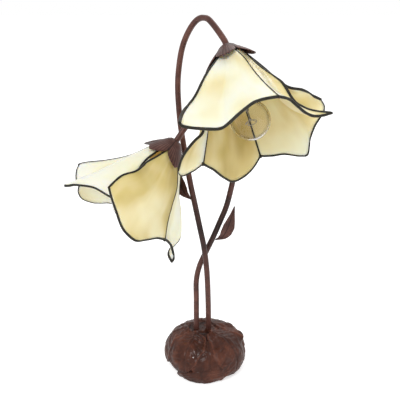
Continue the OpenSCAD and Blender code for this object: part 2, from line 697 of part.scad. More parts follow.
module lower_petal_2() { at_lower() petal(LOW_PETALS[1]); }
module lower_petal_3() { at_lower() petal(LOW_PETALS[2]); }
module lower_petal_4() { at_lower() petal(LOW_PETALS[3]); }
module lower_petal_5() { at_lower() petal(LOW_PETALS[4]); }
module lower_lead_1() { at_lower() petal_lead(LOW_PETALS[0]); }
module lower_lead_2() { at_lower() petal_lead(LOW_PETALS[1]); }
module lower_lead_3() { at_lower() petal_lead(LOW_PETALS[2]); }
module lower_lead_4() { at_lower() petal_lead(LOW_PETALS[3]); }
module lower_lead_5() { at_lower() petal_lead(LOW_PETALS[4]); }
module lower_bulb_glass() { at_lower() bulb_glass(); }
module lower_bulb_cap() { at_lower() bulb_cap(); }
module lower_filament() { at_lower() filament(); }

base_casting();
stem_boss();
base_plate();
plate_screws();
felt_foot();
stem_washers();
stem_nuts();
cable_bush();
terminal_block();
tall_stem();
short_stem();
tall_leaf();
short_leaf();
upper_calyx();
upper_collar();
upper_lock_nuts();
upper_holder_cap();
upper_holder_body();
upper_insulator();
upper_contact();
upper_petal_1();
upper_petal_2();
upper_petal_3();
upper_petal_4();
upper_petal_5();
upper_lead_1();
upper_lead_2();
upper_lead_3();
upper_lead_4();
upper_lead_5();
upper_bulb_glass();
upper_bulb_cap();
upper_filament();
lower_calyx();
lower_collar();
lower_lock_nuts();
lower_holder_cap();
lower_holder_body();
lower_insulator();
lower_contact();
lower_petal_1();
lower_petal_2();
lower_petal_3();
lower_petal_4();
lower_petal_5();
lower_lead_1();
lower_lead_2();
lower_lead_3();
lower_lead_4();
lower_lead_5();
lower_bulb_glass();
lower_bulb_cap();
lower_filament();
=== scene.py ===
"""Looks of a two-light table lamp: leaded-glass flowers on bent bronze stems over a leafy base."""

import json
import math

import bmesh
import bpy
import numpy as np
from bpy.props import FloatProperty, FloatVectorProperty, IntProperty, PointerProperty
from mathutils import Matrix, Vector, noise

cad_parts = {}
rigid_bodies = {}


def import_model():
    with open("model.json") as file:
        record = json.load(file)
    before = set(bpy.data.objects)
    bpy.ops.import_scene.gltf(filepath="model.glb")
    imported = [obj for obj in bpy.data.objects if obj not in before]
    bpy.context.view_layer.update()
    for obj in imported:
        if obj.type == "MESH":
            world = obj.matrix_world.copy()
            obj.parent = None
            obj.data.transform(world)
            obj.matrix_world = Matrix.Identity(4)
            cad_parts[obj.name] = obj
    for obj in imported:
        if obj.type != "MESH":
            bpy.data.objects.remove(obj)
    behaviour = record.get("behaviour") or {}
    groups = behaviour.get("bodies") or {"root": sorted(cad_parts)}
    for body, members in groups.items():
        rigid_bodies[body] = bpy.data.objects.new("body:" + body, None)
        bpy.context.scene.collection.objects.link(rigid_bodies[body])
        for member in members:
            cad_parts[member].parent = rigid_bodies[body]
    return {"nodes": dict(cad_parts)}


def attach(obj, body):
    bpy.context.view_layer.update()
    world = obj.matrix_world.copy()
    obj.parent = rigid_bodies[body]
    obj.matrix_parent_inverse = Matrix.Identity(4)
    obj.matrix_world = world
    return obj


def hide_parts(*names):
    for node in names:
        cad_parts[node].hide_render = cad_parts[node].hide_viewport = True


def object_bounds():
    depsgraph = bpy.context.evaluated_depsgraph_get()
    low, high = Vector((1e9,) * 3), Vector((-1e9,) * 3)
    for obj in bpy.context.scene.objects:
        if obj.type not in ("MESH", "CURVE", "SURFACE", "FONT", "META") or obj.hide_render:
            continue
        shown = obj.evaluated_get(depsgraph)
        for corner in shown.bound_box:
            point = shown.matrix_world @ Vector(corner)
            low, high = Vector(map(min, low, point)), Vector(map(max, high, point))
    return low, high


bl_info = {
    "name": "Flower Lamp Looks",
    "version": (1, 0, 0),
    "blender": (4, 5, 0),
    "location": "View3D > Sidebar > Flower Lamp",
    "description": "Glass petals, lead, stems, calyxes, leaves, base and bulbs of a flower lamp",
    "category": "Object",
}

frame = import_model()
CAD_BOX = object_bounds()
MM = 0.001              # metres in a millimetre: sizes in tables below are in millimetres
LAMP = "lamp"           # body that carries everything but the bulbs
INSIDE_BOX = 0.0001     # how far the looks stay inside the CAD model's box


# ---- sizes and colours

class GlassSettings(bpy.types.PropertyGroup):
    """Sizes and colours of the bent glass and its lead."""
    thickness: FloatProperty(
        name="Glass thickness", description="Thickness of the bent glass petals",
        default=0.0028, min=0.001, max=0.005, unit="LENGTH")
    lead_thickness: FloatProperty(
        name="Lead thickness", description="Height of the solder bead through the glass",
        default=0.0044, min=0.002, max=0.006, unit="LENGTH")
    rim_width: FloatProperty(
        name="Rim width", description="Width of the bead along rims and free edges",
        default=0.0042, min=0.001, max=0.006, unit="LENGTH")
    seam_width: FloatProperty(
        name="Seam width", description="Width of the bead between two joined petals",
        default=0.0024, min=0.001, max=0.005, unit="LENGTH")
    light: FloatVectorProperty(
        name="Light glass", description="Colour of the lighter warm glass",
        default=(0.87, 0.77, 0.49), min=0, max=1, subtype="COLOR")
    amber: FloatVectorProperty(
        name="Amber glass", description="Colour of the amber glass",
        default=(0.70, 0.59, 0.26), min=0, max=1, subtype="COLOR")
    lead: FloatVectorProperty(
        name="Lead colour", description="Blackened solder",
        default=(0.026, 0.024, 0.018), min=0, max=1, subtype="COLOR")


class MetalSettings(bpy.types.PropertyGroup):
    """Sizes and colours of the stems, leaves and base."""
    tube: FloatProperty(
        name="Tube diameter", description="Outer diameter of the stems",
        default=0.0098, min=0.006, max=0.014, unit="LENGTH")
    bronze: FloatVectorProperty(
        name="Stem colour", description="Brown patina of the stems, calyxes and leaves",
        default=(0.105, 0.040, 0.030), min=0, max=1, subtype="COLOR")
    dark: FloatVectorProperty(
        name="Base colour", description="Darker patina of the cast base",
        default=(0.084, 0.024, 0.013), min=0, max=1, subtype="COLOR")
    veins: IntProperty(
        name="Side veins", description="Side veins on each half of a base leaf",
        default=8, min=3, max=14)


class StageSettings(bpy.types.PropertyGroup):
    """Camera and light."""
    eye: FloatVectorProperty(
        name="Camera", description="Place of the camera",
        default=(-0.010, -1.175, 0.7475), subtype="TRANSLATION")
    target: FloatVectorProperty(
        name="Target", description="Point at the middle of the picture",
        default=(-0.010, 0.0, 0.320), subtype="TRANSLATION")
    lens: FloatProperty(
        name="Lens", description="Focal length in millimetres on a 36 mm sensor",
        default=66.24, min=20, max=200)
    key: FloatProperty(
        name="Key light", description="Power of the main soft light",
        default=19.0, min=0, subtype="POWER")
    spark: FloatProperty(
        name="Small light", description="Power of the small light that glints",
        default=9.0, min=0, subtype="POWER")
    fill: FloatProperty(
        name="Fill light", description="Power of the fill light",
        default=7.0, min=0, subtype="POWER")


# ---- curves

def polar(p):
    """Points given as angle about the axis, radius and height, as x, y and z."""
    p = np.asarray(p, float)
    a = np.radians(p[..., 0])
    return np.stack([p[..., 1] * np.cos(a), p[..., 1] * np.sin(a), p[..., 2]], -1)


def off_angle(angle, middle):
    """How far an angle lies from a middle one, in degrees from -180 to 180."""
    return (angle - middle + 180) % 360 - 180


def unit(v):
    v = np.asarray(v, float)
    return v / np.maximum(np.linalg.norm(v, axis=-1, keepdims=True), 1e-12)


def spread(points, knots, n):
    """n + 1 points evenly along a smooth curve through the points; knots are running lengths."""
    p = np.asarray(points, float)
    q = np.vstack([2 * p[0] - p[1], p, 2 * p[-1] - p[-2]])
    x = np.linspace(0, knots[-1] - 1e-6, n + 1)
    i = np.clip(np.searchsorted(knots, x, side="right") - 1, 0, len(knots) - 2)
    t = ((x - knots[i]) / (knots[i + 1] - knots[i]))[:, None]
    a, b, c, d = q[i], q[i + 1], q[i + 2], q[i + 3]
    return 0.5 * (2 * b + (c - a) * t + (2 * a - 5 * b + 4 * c - d) * t ** 2
                  + (3 * b - a - 3 * c + d) * t ** 3)


def running(xyz):
    """Running length at each point of a line."""
    return np.concatenate([[0], np.cumsum(np.linalg.norm(np.diff(xyz, axis=0), axis=1))])


def even(points, n=160):
    """Points evenly along a curve given as angle, radius and height."""
    return spread(points, running(polar(points)), n)


def even_space(points, n):
    """Points evenly along a curve given as x, y and z."""
    return spread(points, running(np.asarray(points, float)), n)


def pick(a, s):
    """Value of a list at the fraction s of its length, for one number or an array of them."""
    a = np.asarray(a, float)
    x = np.clip(np.asarray(s, float), 0, 1) * (len(a) - 1)
    i = np.clip(np.floor(x).astype(int), 0, len(a) - 2)
    t = x - i
    t = t.reshape(t.shape + (1,) * (a.ndim - 1))
    return a[i] * (1 - t) + a[i + 1] * t


def smoothstep(lo, hi, x):
    t = np.clip((x - lo) / (hi - lo), 0, 1)
    return t * t * (3 - 2 * t)


def placed(at, az, inc, roll):
    """From a flower's own frame, with +Z out of the mouth, to the lamp's frame, in metres."""
    return (Matrix.Translation(Vector(at) * MM) @ Matrix.Rotation(math.radians(az), 4, "Z")
            @ Matrix.Rotation(math.radians(180 - inc), 4, "Y")
            @ Matrix.Rotation(math.radians(roll), 4, "Z") @ Matrix.Scale(MM, 4))


# Where each flower's axis starts, the way it points, and how far it tilts from straight down
UPPER_AT, UPPER_WAY, UPPER_TILT = np.array([32.4, -50, 578.4]), -67, 42
LOWER_AT, LOWER_WAY, LOWER_TILT = np.array([-54.7, 0, 416.8]), -157.8, 40.3
UPPER = placed(UPPER_AT, UPPER_WAY, UPPER_TILT, -34.6)
LOWER = placed(LOWER_AT, LOWER_WAY, LOWER_TILT, 25.2)


def moved(matrix, xyz):
    m = np.array(matrix)
    return xyz @ m[:3, :3].T + m[:3, 3]


# ---- meshes

def linked(name, data):
    """A new object in the scene."""
    obj = bpy.data.objects.new(name, data)
    bpy.context.scene.collection.objects.link(obj)
    return obj


def finished(name, bm, body, node, slot, *materials):
    """Makes the object of a bmesh, rides it on its body and hides the CAD node it stands for."""
    mesh = bpy.data.meshes.new(name)
    for v in bm.verts:
        v.co = [min(max(c, lo + INSIDE_BOX), hi - INSIDE_BOX) for c, lo, hi in zip(v.co, *CAD_BOX)]
    for f in bm.faces:
        f.smooth = True
    bm.to_mesh(mesh)
    bm.free()
    obj = linked(name, mesh)
    for m in materials:
        mesh.materials.append(material(m))
    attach(obj, body)
    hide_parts(node)
    return obj


def sheet(bm, cols, rows, place, wrap_u=False, wrap_v=False, masks=None):
    """A grid of cols by rows faces shaped by place(u, v), with a float layer for each mask.

    Wrapped sides are sewn together.
    """
    uv = bm.loops.layers.uv.get("UVMap") or bm.loops.layers.uv.new("UVMap")
    layers = {key: bm.verts.layers.float.get(key) or bm.verts.layers.float.new(key)
              for key in masks or {}}
    made = bmesh.ops.create_grid(bm, x_segments=cols, y_segments=rows, size=0.5)["verts"]
    u = np.array([v.co.x + 0.5 for v in made])
    v = np.array([v.co.y + 0.5 for v in made])
    own = {vert: (a, b) for vert, a, b in zip(made, u, v)}
    for f in {f for vert in made for f in vert.link_faces}:
        for loop in f.loops:
            loop[uv].uv = own[loop.vert]
    for vert, co in zip(made, place(u, v)):
        vert.co = co
    for key, layer in layers.items():
        for vert, value in zip(made, masks[key](u, v)):
            vert[layer] = float(value)
    if wrap_u or wrap_v:
        bmesh.ops.remove_doubles(bm, verts=made, dist=1e-6)
    return made


def tube(bm, centre, side, up, wide, high, around=12, round_ends=True):
    """A rounded bead along centre points, with half sizes wide along side and high along up."""
    wide, high = (np.broadcast_to(a, (len(centre),)) for a in (wide, high))
    if round_ends:
        along = unit(np.gradient(centre, axis=0))
        turn = np.radians([8, 30, 60])
        head = [centre[0] - along[0] * high[0] * np.cos(t) for t in turn]
        tail = [centre[-1] + along[-1] * high[-1] * np.cos(t) for t in turn[::-1]]
        grow = np.sin(turn)
        centre = np.vstack([head, centre, tail])
        wide, high = (np.concatenate([a[0] * grow, a, a[-1] * grow[::-1]]) for a in (wide, high))
        side, up = (np.pad(a, ((3, 3), (0, 0)), "edge") for a in (side, up))
    rows = len(centre) - 1

    def place(u, v):
        k = np.rint(v * rows).astype(int)
        a = 2 * np.pi * u
        return (centre[k] + side[k] * (wide[k] * np.cos(a))[:, None]
                + up[k] * (high[k] * np.sin(a))[:, None])
    bmesh.ops.remove_doubles(bm, verts=sheet(bm, around, rows, place), dist=1e-7)
    bmesh.ops.holes_fill(bm, edges=[e for e in bm.edges if e.is_boundary], sides=around)


def mended(bm):
    """The bmesh with every face's front turned outwards."""
    bmesh.ops.recalc_face_normals(bm, faces=bm.faces)
    return bm


# ---- petals

SEAT_R, SEAT_Z = 18.05, 8   # where the glass sits on its collar
HIDDEN = 0.9                # how far the glass runs under its lead
CORNER = 2.5                # radius of the drop of solder where a seam meets the rim
SIDE_WARMTH, SIDE_START = 0.24, 0.03    # how much warmer the outer glass gets towards its sides


def edge(angle, p):
    """A petal's edge from its seat on the collar through points of angle, radius and height."""
    return [[angle, SEAT_R, SEAT_Z], [angle, SEAT_R + 6, SEAT_Z + 7]] + p


def turned(p, d):
    """The same edge, d degrees on."""
    return [[q[0] + d, q[1], q[2]] for q in p]


# Petals as left edge, right edge, rim, and whether each edge is free or joined to its neighbour
UP_FAR_SEAM = edge(357, [[357, 50, 46], [357, 70, 95], [357, 97, 148]])
UP_BACK_SEAM = edge(62, [[62, 50, 46], [62, 70, 95], [62, 97, 143]])
UP_NEAR_SEAM = edge(216, [[215, 40, 40], [215, 50, 62], [215, 60, 82], [214, 74, 108],
                          [216, 99, 140]])
UP_PETALS = [
    (turned(UP_FAR_SEAM, -360), UP_BACK_SEAM,
     [[-3, 97, 148], [10, 95, 157], [25, 106, 165], [33, 114, 168], [41, 116, 165], [51, 110, 157],
      [62, 97, 143]], 0, 0),
    (UP_BACK_SEAM,
     edge(158, [[158, 42, 48], [158, 56, 76], [157, 68, 91], [152, 84, 97], [141, 99, 101],
                [136, 115, 108]]),
     [[62, 97, 143], [72, 99, 148], [83, 104, 152], [93, 115, 162], [98, 120, 164],
      [104, 115, 155], [109, 112, 146], [120, 109, 137], [128, 124, 119], [136, 115, 108]], 0, 1),
    (edge(170, [[168, 40, 48], [166, 57, 74], [169, 66, 91], [163, 70, 116], [164, 80, 133],
                [166, 94, 147], [165, 117, 160]]),
     UP_NEAR_SEAM,
     [[165, 117, 160], [168, 104, 161], [173, 92, 159], [182, 87, 154], [193, 89, 149],
      [203, 93, 142], [216, 99, 140]], 1, 0),
    (UP_NEAR_SEAM, edge(288, [[288, 60, 48], [295, 84, 80], [291, 115, 108], [284, 140, 136]]),
     [[216, 99, 140], [234, 97, 140], [245, 95, 145], [262, 92, 154], [270, 100, 158],
      [280, 117, 150], [285, 133, 142], [284, 140, 136]], 0, 1),
    (edge(312, [[312, 50, 45], [318, 66, 90], [322, 70, 118], [322, 87, 130], [333, 111, 141],
                [343, 126, 150]]),
     UP_FAR_SEAM, [[343, 126, 150], [348, 129, 157], [353, 113, 154], [357, 97, 148]], 1, 0),
]
LOW_FRONT_SEAM = edge(36, [[28, 50, 50], [28, 64, 81], [32, 78, 105], [35, 97, 130]])
LOW_TOP_SEAM = edge(200, [[199, 50, 58], [191, 74, 87], [186, 98, 110], [186, 106, 120]])
LOW_FAR_SEAM = edge(272, [[272, 50, 50], [272, 74, 98], [272, 97, 143]])
LOW_PETALS = [
    (edge(8, [[6, 38, 34], [5, 56, 64], [5, 76, 84], [4.5, 93, 106], [5, 101, 119], [8, 101, 132],
              [11, 100, 142], [14, 104, 151], [14, 117, 157]]),
     LOW_FRONT_SEAM,
     [[14, 117, 157], [14, 117, 148], [15, 110, 141], [19, 102, 134], [26, 97, 131],
      [35, 97, 130]], 1, 0),
    (LOW_FRONT_SEAM,
     edge(104, [[111, 48, 43], [109, 62, 55], [108, 78, 67], [112, 97, 84], [111, 115, 110]]),
     [[35, 97, 130], [48, 100, 134], [60, 108, 144], [69, 117, 152], [78, 119, 151],
      [85, 120, 146], [95, 119, 132], [104, 117, 120], [111, 115, 110]], 0, 1),
    (edge(114, [[114, 45, 42], [107, 63, 70], [103, 80, 98], [104, 92, 122]]), LOW_TOP_SEAM,
     [[104, 92, 122], [112, 96, 124], [122, 98, 126], [130, 100, 130], [143, 107, 143],
      [149, 109, 151], [154, 110.5, 156], [161, 102, 152], [168, 93, 144], [176, 98, 136],
      [182, 103, 129], [186, 106, 120]], 1, 0),
    (LOW_TOP_SEAM, LOW_FAR_SEAM,
     [[186, 106, 120], [200, 95, 138], [216, 107, 160], [223, 112, 168], [232, 116, 173],
      [242, 112, 168], [247, 104, 160], [254, 98, 150], [272, 97, 143]], 0, 0),
    (LOW_FAR_SEAM, edge(352, [[350, 38, 34], [350, 60, 64], [350, 80, 92], [349, 96, 118]]),
     [[272, 97, 143], [286, 100, 148], [300, 106, 152], [314, 107, 148], [328, 102, 136],
      [340, 98, 124], [349, 96, 118]], 0, 1),
]


# How warm each petal's glass is, from pale to amber, with painted shade in it where a face is
# less lit (the inner faces, and the darker lower front petal): outside, inside, and how much it
# rises across and along the petal; then the widths of its rim bead and of its seam
WARMTH_AND_SHADE = {
    "upper": ((0.3, 0.78, -0.3, -0.15, 1.0, 1.0), (0.35, 0.6, 0.1, -0.5, 1.0, 1.5),
              (0.36, 0.6, 0.0, 0.0, 1.4, 1.0), (0.17, 0.6, 0.0, 0.1, 1.25, 1.0),
              (0.3, 0.42, -0.75, 0.0, 0.85, 1.0)),
    "lower": ((0.18, 0.4, 0.1, -0.1, 1.15, 1.0), (0.74, 0.7, 0.1, 0.0, 1.0, 0.9),
              (0.08, 0.3, -0.1, 0.1, 0.75, 1.0), (0.1, 0.16, 0.0, 0.0, 0.7, 1.0),
              (0.2, 0.5, 0.0, 0.0, 0.85, 1.0)),
}


class Petal:
    """One bent glass petal: a surface spanned by two side edges, a rim and a short root."""

    def __init__(self, left, right, rim, left_free, right_free):
        self.free = left_free, right_free
        self.left, self.right, self.rim = even(left), even(right), even(rim)
        self.root = np.array([self.left[0], self.right[0]])

    def at(self, u, v):
        """Point at u across and v up the petal, in the flower's frame."""
        u, v = np.broadcast_arrays(np.asarray(u, float), np.asarray(v, float))
        a, b, t, r = pick(self.left, v), pick(self.right, v), pick(self.rim, u), pick(self.root, u)
        U, V = u[..., None], v[..., None]
        return polar((1 - U) * a + U * b + (1 - V) * r + V * t
                     - (1 - U) * (1 - V) * self.root[0] - U * (1 - V) * self.root[1]
                     - (1 - U) * V * self.rim[0] - U * V * self.rim[-1])

    def width(self, v):
        """About the length of the petal's surface across it at v."""
        return 1.1 * np.linalg.norm(self.at(0, v) - self.at(1, v), axis=-1)

    def height(self, u):
        """About the length of the petal's surface along it at u."""
        return 1.15 * np.linalg.norm(self.at(u, 1) - self.at(u, 0), axis=-1)


def petal_glass(name, petal, matrix, node, tones):
    """The glass of a petal, which ends under the lead around it."""
    outside, inside, across, along, rim = tones[:5]
    g = bpy.context.scene.flower_glass
    lead, seam = g.rim_width / MM * rim, g.seam_width / MM / 2
    left, right = [(lead if free else seam) - HIDDEN for free in petal.free]
    bm = bmesh.new()

    def place(u, v):
        v = v * (1 - (lead - HIDDEN) / petal.height(u))
        w = petal.width(v)
        return moved(matrix, petal.at(left / w + (1 - (left + right) / w) * u, v))

    def rise(u, v):
        return across * (u - 0.5) + along * (v - 0.5) + 0.05 * np.sin(6 * u + 4 * v)

    # Warmth masks of the outer and inner faces: the glass's own colour with painted shade, mostly
    # deeper on the inner faces
    def outer_warmth_and_shade(u, v):
        return np.clip(outside + rise(u, v) + (SIDE_WARMTH * (2 * u - 1) ** 2 - SIDE_START), 0, 1)

    def inner_warmth_and_shade(u, v):
        return np.clip(inside + rise(u, v), 0, 1)
    sheet(bm, 44, 40, place, masks={"outer_warmth_and_shade": outer_warmth_and_shade, "inner_warmth_and_shade": inner_warmth_and_shade})
    obj = finished(name, bm, LAMP, node, "opal_glass", "opal_outer", "opal_inner")
    wall = obj.modifiers.new("Wall", "SOLIDIFY")
    wall.thickness, wall.offset, wall.material_offset = g.thickness, 0, 1
    wall.use_quality_normals = True


def petal_lead(name, petal, matrix, node, tones):
    """The beads along a petal's free edges, its left seam and its rim, and drops at seams' ends."""
    g = bpy.context.scene.flower_glass
    bead, seam = g.rim_width / 2 / MM * tones[4], g.seam_width / 2 / MM * tones[5]
    high = g.lead_thickness / 2 / MM
    bm = bmesh.new()
    for s in (0, 1):
        v = np.linspace(0.012, 1, 64)
        if petal.free[s]:
            w = petal.width(v)
            off = bead / w
            v = np.minimum(v, 1 - bead / petal.height(np.full_like(v, s)))
            u = off if s == 0 else 1 - off
            c = petal.at(u, v)
            side = unit(petal.at(np.full_like(v, s), v) - c)
            half = bead
        elif s == 0:
            c = petal.at(0 * v, v)
            side = unit(np.stack([-c[:, 1], c[:, 0], 0 * v], -1))
            half = seam
        else:
            continue
        along = unit(np.gradient(c, axis=0))
        up = unit(np.cross(side, along))
        side = unit(np.cross(along, up))
        lump = 1 + 0.05 * np.sin(v * 61 + s) + 0.04 * np.sin(v * 23 + 2)
        tube(bm, c, side, up, half * np.minimum(lump, 1.0), high * np.minimum(lump, 1.0))
    u = np.linspace(0, 1, 90)
    lo, hi = (bead if petal.free[0] else 0), (bead if petal.free[1] else 0)
    u = lo / petal.width(1.0) + u * (1 - (lo + hi) / petal.width(1.0))
    v = 1 - bead / petal.height(u)
    c = petal.at(u, v)
    side = unit(petal.at(u, np.ones_like(u)) - c)
    along = unit(np.gradient(c, axis=0))
    up = unit(np.cross(side, along))
    lump = 0.96 + 0.04 * np.sin(u * 47) * np.sin(u * 19 + 1)
    tube(bm, c, side, up, bead * lump, high * lump)
    for s in (0, 1):
        if not petal.free[s]:
            c = petal.at(float(s), 1 - 1.2 * bead / float(petal.height(float(s))))
            blob = bmesh.ops.create_icosphere(bm, subdivisions=3, radius=1.0)["verts"]
            for vert in blob:
                vert.co = Vector(c) + vert.co * CORNER
    bm.transform(matrix)
    finished(name, mended(bm), LAMP, node, "lead_came", "black_solder")


# ---- materials

def material(name):
    return bpy.data.materials[name]


class Nodes:
    """A short way to put down and join shader nodes."""

    def __init__(self, tree):
        self.tree = tree
        self.x = 0

    def add(self, kind, **inputs):
        """A new node, with values or links for its inputs by name."""
        n = self.tree.nodes.new("ShaderNode" + kind)
        self.x += 180
        n.location = (self.x, 0)
        return self.fill(n, **inputs)

    def fill(self, n, **inputs):
        """Links or sets inputs by name, with _ for each space."""
        for key, value in inputs.items():
            self.set(n, key.replace("_", " "), value)
        return n

    def set(self, n, key, value):
        """Links or sets one input. Three numbers for a colour get an alpha of 1."""
        socket = n.inputs[key]
        if isinstance(value, bpy.types.NodeSocket):
            self.tree.links.new(value, socket)
        elif socket.type == "RGBA":
            socket.default_value = (*value, 1)
        else:
            socket.default_value = value

    def ramp(self, value, stops):
        """Colour ramp over stops of place and colour."""
        n = self.add("ValToRGB", Fac=value)
        for k, (pos, colour) in enumerate(stops):
            e = n.color_ramp.elements[k] if k < 2 else n.color_ramp.elements.new(pos)
            e.position = pos
            e.color = (*colour, 1)
        return n.outputs[0]

    def mix(self, factor, a, b):
        """Mix of two colours."""
        n = self.add("Mix")
        n.data_type = "RGBA"
        for place, value in ((0, factor), (6, a), (7, b)):
            self.set(n, place, value)
        return n.outputs[2]

    def math(self, how, *values, clamp=False):
        """Result of one sum over numbers or outputs of other nodes."""
        n = self.add("Math")
        n.operation = how
        n.use_clamp = clamp
        for k, value in enumerate(values):
            self.set(n, k, value)
        return n.outputs[0]

    def group(self, name, **inputs):
        """A use of a node group."""
        n = self.add("Group")
        n.node_tree = bpy.data.node_groups[name]
        return self.fill(n, **inputs)


def new_group(name, inputs, outputs):
    """A node group with number inputs, given with their defaults, and number outputs."""
    tree = bpy.data.node_groups.new(name, "ShaderNodeTree")
    for key, default in inputs.items():
        socket = tree.interface.new_socket(key, in_out="INPUT", socket_type="NodeSocketFloat")
        socket.default_value = default
    for key in outputs:
        tree.interface.new_socket(key, in_out="OUTPUT", socket_type="NodeSocketFloat")
    n = Nodes(tree)
    return n, tree.nodes.new("NodeGroupInput").outputs, tree.nodes.new("NodeGroupOutput")


def mottle_group():
    """Cloudy patches and a fine grain, from the object's own coordinates."""
    n, inp, out = new_group("mottle", {"Patch Size": 60.0, "Grain Size": 900.0},
                            ("Patches", "Grain"))
    at = n.add("TexCoord").outputs["Object"]
    patches = n.add("TexNoise", Vector=at, Scale=inp[0], Detail=4.0, Roughness=0.6)
    grain = n.add("TexNoise", Vector=at, Scale=inp[1], Detail=2.0, Roughness=0.5)
    for k, made in enumerate((patches, grain)):
        n.set(out, k, made.outputs[0])


def streak_group():
    """Wispy streaks of opalescent glass that run along a petal."""
    n, inp, out = new_group("glass_streaks", {"Across": 5.0, "Along": 1.6, "Shift": 0.0},
                            ("Wisps", "Clouds", "Ripple"))
    at = n.add("TexCoord")
    sep = n.add("SeparateXYZ", Vector=at.outputs["UV"])
    wobble = n.add("TexNoise", Vector=at.outputs["Object"], Scale=9.0, Detail=2.0)
    x = n.math("ADD", n.math("MULTIPLY", sep.outputs[0], inp[0]),
               n.math("MULTIPLY", wobble.outputs[0], 1.3))
    v = n.add("CombineXYZ", X=x, Y=n.math("MULTIPLY", sep.outputs[1], inp[1]), Z=inp[2])
    wisps = n.add("TexNoise", Vector=v.outputs[0], Scale=1.3, Detail=2.5, Roughness=0.5,
                  Distortion=0.4)
    clouds = n.add("TexNoise", Vector=at.outputs["Object"], Scale=13.0, Detail=1.5)
    ripple = n.add("TexNoise", Vector=at.outputs["Object"], Scale=70.0, Detail=2.0)
    for k, made in enumerate((wisps, clouds, ripple)):
        n.set(out, k, made.outputs[0])


def new_material(name):
    """A material with a bare Principled shader."""
    m = bpy.data.materials.new(name)
    m.use_nodes = True
    m.node_tree.nodes.clear()
    n = Nodes(m.node_tree)
    shader = n.add("BsdfPrincipled")
    n.add("OutputMaterial", Surface=shader.outputs[0])
    return m, n, shader


def bumped(n, shader, height, strength, distance):
    """Adds fine relief to a shader."""
    b = n.add("Bump", Strength=strength, Distance=distance, Height=height)
    n.set(shader, "Normal", b.outputs[0])


def shade(colour, k):
    """A colour made k times as bright."""
    return tuple(min(1.0, c * k) for c in colour)


SHADE_BAND_AT, SHADE_BAND_REACH = 0.27, 0.1     # height and reach of the painted shade on the stems
HIGHLIGHT_FROM = 0.72                         # mask value above which a painted highlight lightens the patina


def metal_material(name, colour, light, dark, rough, metallic, coat=0.0, patch=55.0, grain=900.0,
                   bump=0.12, relief=False, shade_band=False, specular=0.3):
    """Patinated metal: patches of a lighter and a darker tone, and a grained surface.

    With its shade and highlight mask it gets painted shade in its hollows and a painted highlight
    on its ridges, and with its band it gets painted shade about the height at which the stems
    cross.
    """
    _, n, shader = new_material(name)
    g = n.group("mottle", Patch_Size=patch, Grain_Size=grain)
    tone = n.ramp(g.outputs[0], [(0.32, dark), (0.5, colour), (0.7, light)])
    rgh = n.math("MULTIPLY_ADD", g.outputs[0], 0.22, rough - 0.11)
    if relief:
        painted_light = n.add("Attribute")
        painted_light.attribute_name = "relief"
        high = painted_light.outputs["Fac"]
        low = n.math("SUBTRACT", 1.0, high, clamp=True)
        # Painted shade in the hollows, where the mask is low
        tone = n.mix(n.math("MULTIPLY", low, 0.85), tone, shade(dark, 0.3))
        top = n.math("SUBTRACT", high, HIGHLIGHT_FROM, clamp=True)
        # Painted highlight on the ridges, where the mask is high
        tone = n.mix(n.math("MULTIPLY", top, 1.6, clamp=True), tone, light)
        rgh = n.math("ADD", rgh, n.math("MULTIPLY", low, 0.2))
    if shade_band:
        height = n.add("SeparateXYZ", Vector=n.add("TexCoord").outputs["Object"]).outputs[2]
        off = n.math("ABSOLUTE", n.math("SUBTRACT", height, SHADE_BAND_AT))
        off = n.math("MULTIPLY", off, 1 / SHADE_BAND_REACH)
        band = n.math("SUBTRACT", 1.0, n.math("SMOOTH_MIN", off, 1.0, 0.4), clamp=True)
        # Painted shade in a band about the height where the stems cross
        tone = n.mix(n.math("MULTIPLY", band, 0.95), tone, shade(dark, 0.22))
    n.fill(shader, Base_Color=tone, Roughness=rgh, Metallic=metallic,
           Specular_IOR_Level=specular, Coat_Weight=coat, Coat_Roughness=0.11)
    bumped(n, shader, n.math("ADD", n.math("MULTIPLY", g.outputs[0], 0.6), g.outputs[1]), bump,
           0.0006)


def glass_material(name, mask, stops, shift, rough):
    """Opalescent glass: milky, cloudy from pale to warm with a few wisps, and a glossy face."""
    _, n, shader = new_material(name)
    s = n.group("glass_streaks", Across=2.6, Along=1.1, Shift=shift)
    # The mask holds each petal's warmth with painted shade in it
    tint = n.add("Attribute")
    tint.attribute_name = mask
    cloud = n.math("MULTIPLY_ADD", s.outputs[1], 1.5, -0.75)
    mix = n.math("ADD", n.math("MULTIPLY_ADD", s.outputs[0], 0.5, -0.25),
                 n.math("ADD", tint.outputs["Fac"], cloud), clamp=True)
    n.fill(shader, Base_Color=n.ramp(mix, list(zip((0.0, 0.25, 0.5, 0.75, 1.0), stops))),
           Roughness=n.math("MULTIPLY_ADD", s.outputs[2], 0.12, rough - 0.06),
           Subsurface_Weight=0.7, Subsurface_Radius=(1.0, 0.85, 0.6), Subsurface_Scale=0.006,
           Specular_IOR_Level=0.35, Coat_Weight=0.06, Coat_Roughness=0.1)
    bumped(n, shader, s.outputs[2], 0.14, 0.0012)


def plain_material(name, colour, rough, metallic=0.0, vary=0.12, grain=1200.0, bump=0.1, coat=0.0):
    """One colour that varies by the given share, with a fine grain."""
    _, n, shader = new_material(name)
    g = n.group("mottle", Patch_Size=80.0, Grain_Size=grain)
    tone = n.ramp(g.outputs[0], [(0.3, shade(colour, 1 - vary)), (0.7, shade(colour, 1 + vary))])
    rgh = n.math("MULTIPLY_ADD", g.outputs[1], 0.2, rough - 0.1)
    n.fill(shader, Base_Color=tone, Roughness=rgh, Metallic=metallic, Coat_Weight=coat)
    bumped(n, shader, g.outputs[1], bump, 0.0004)


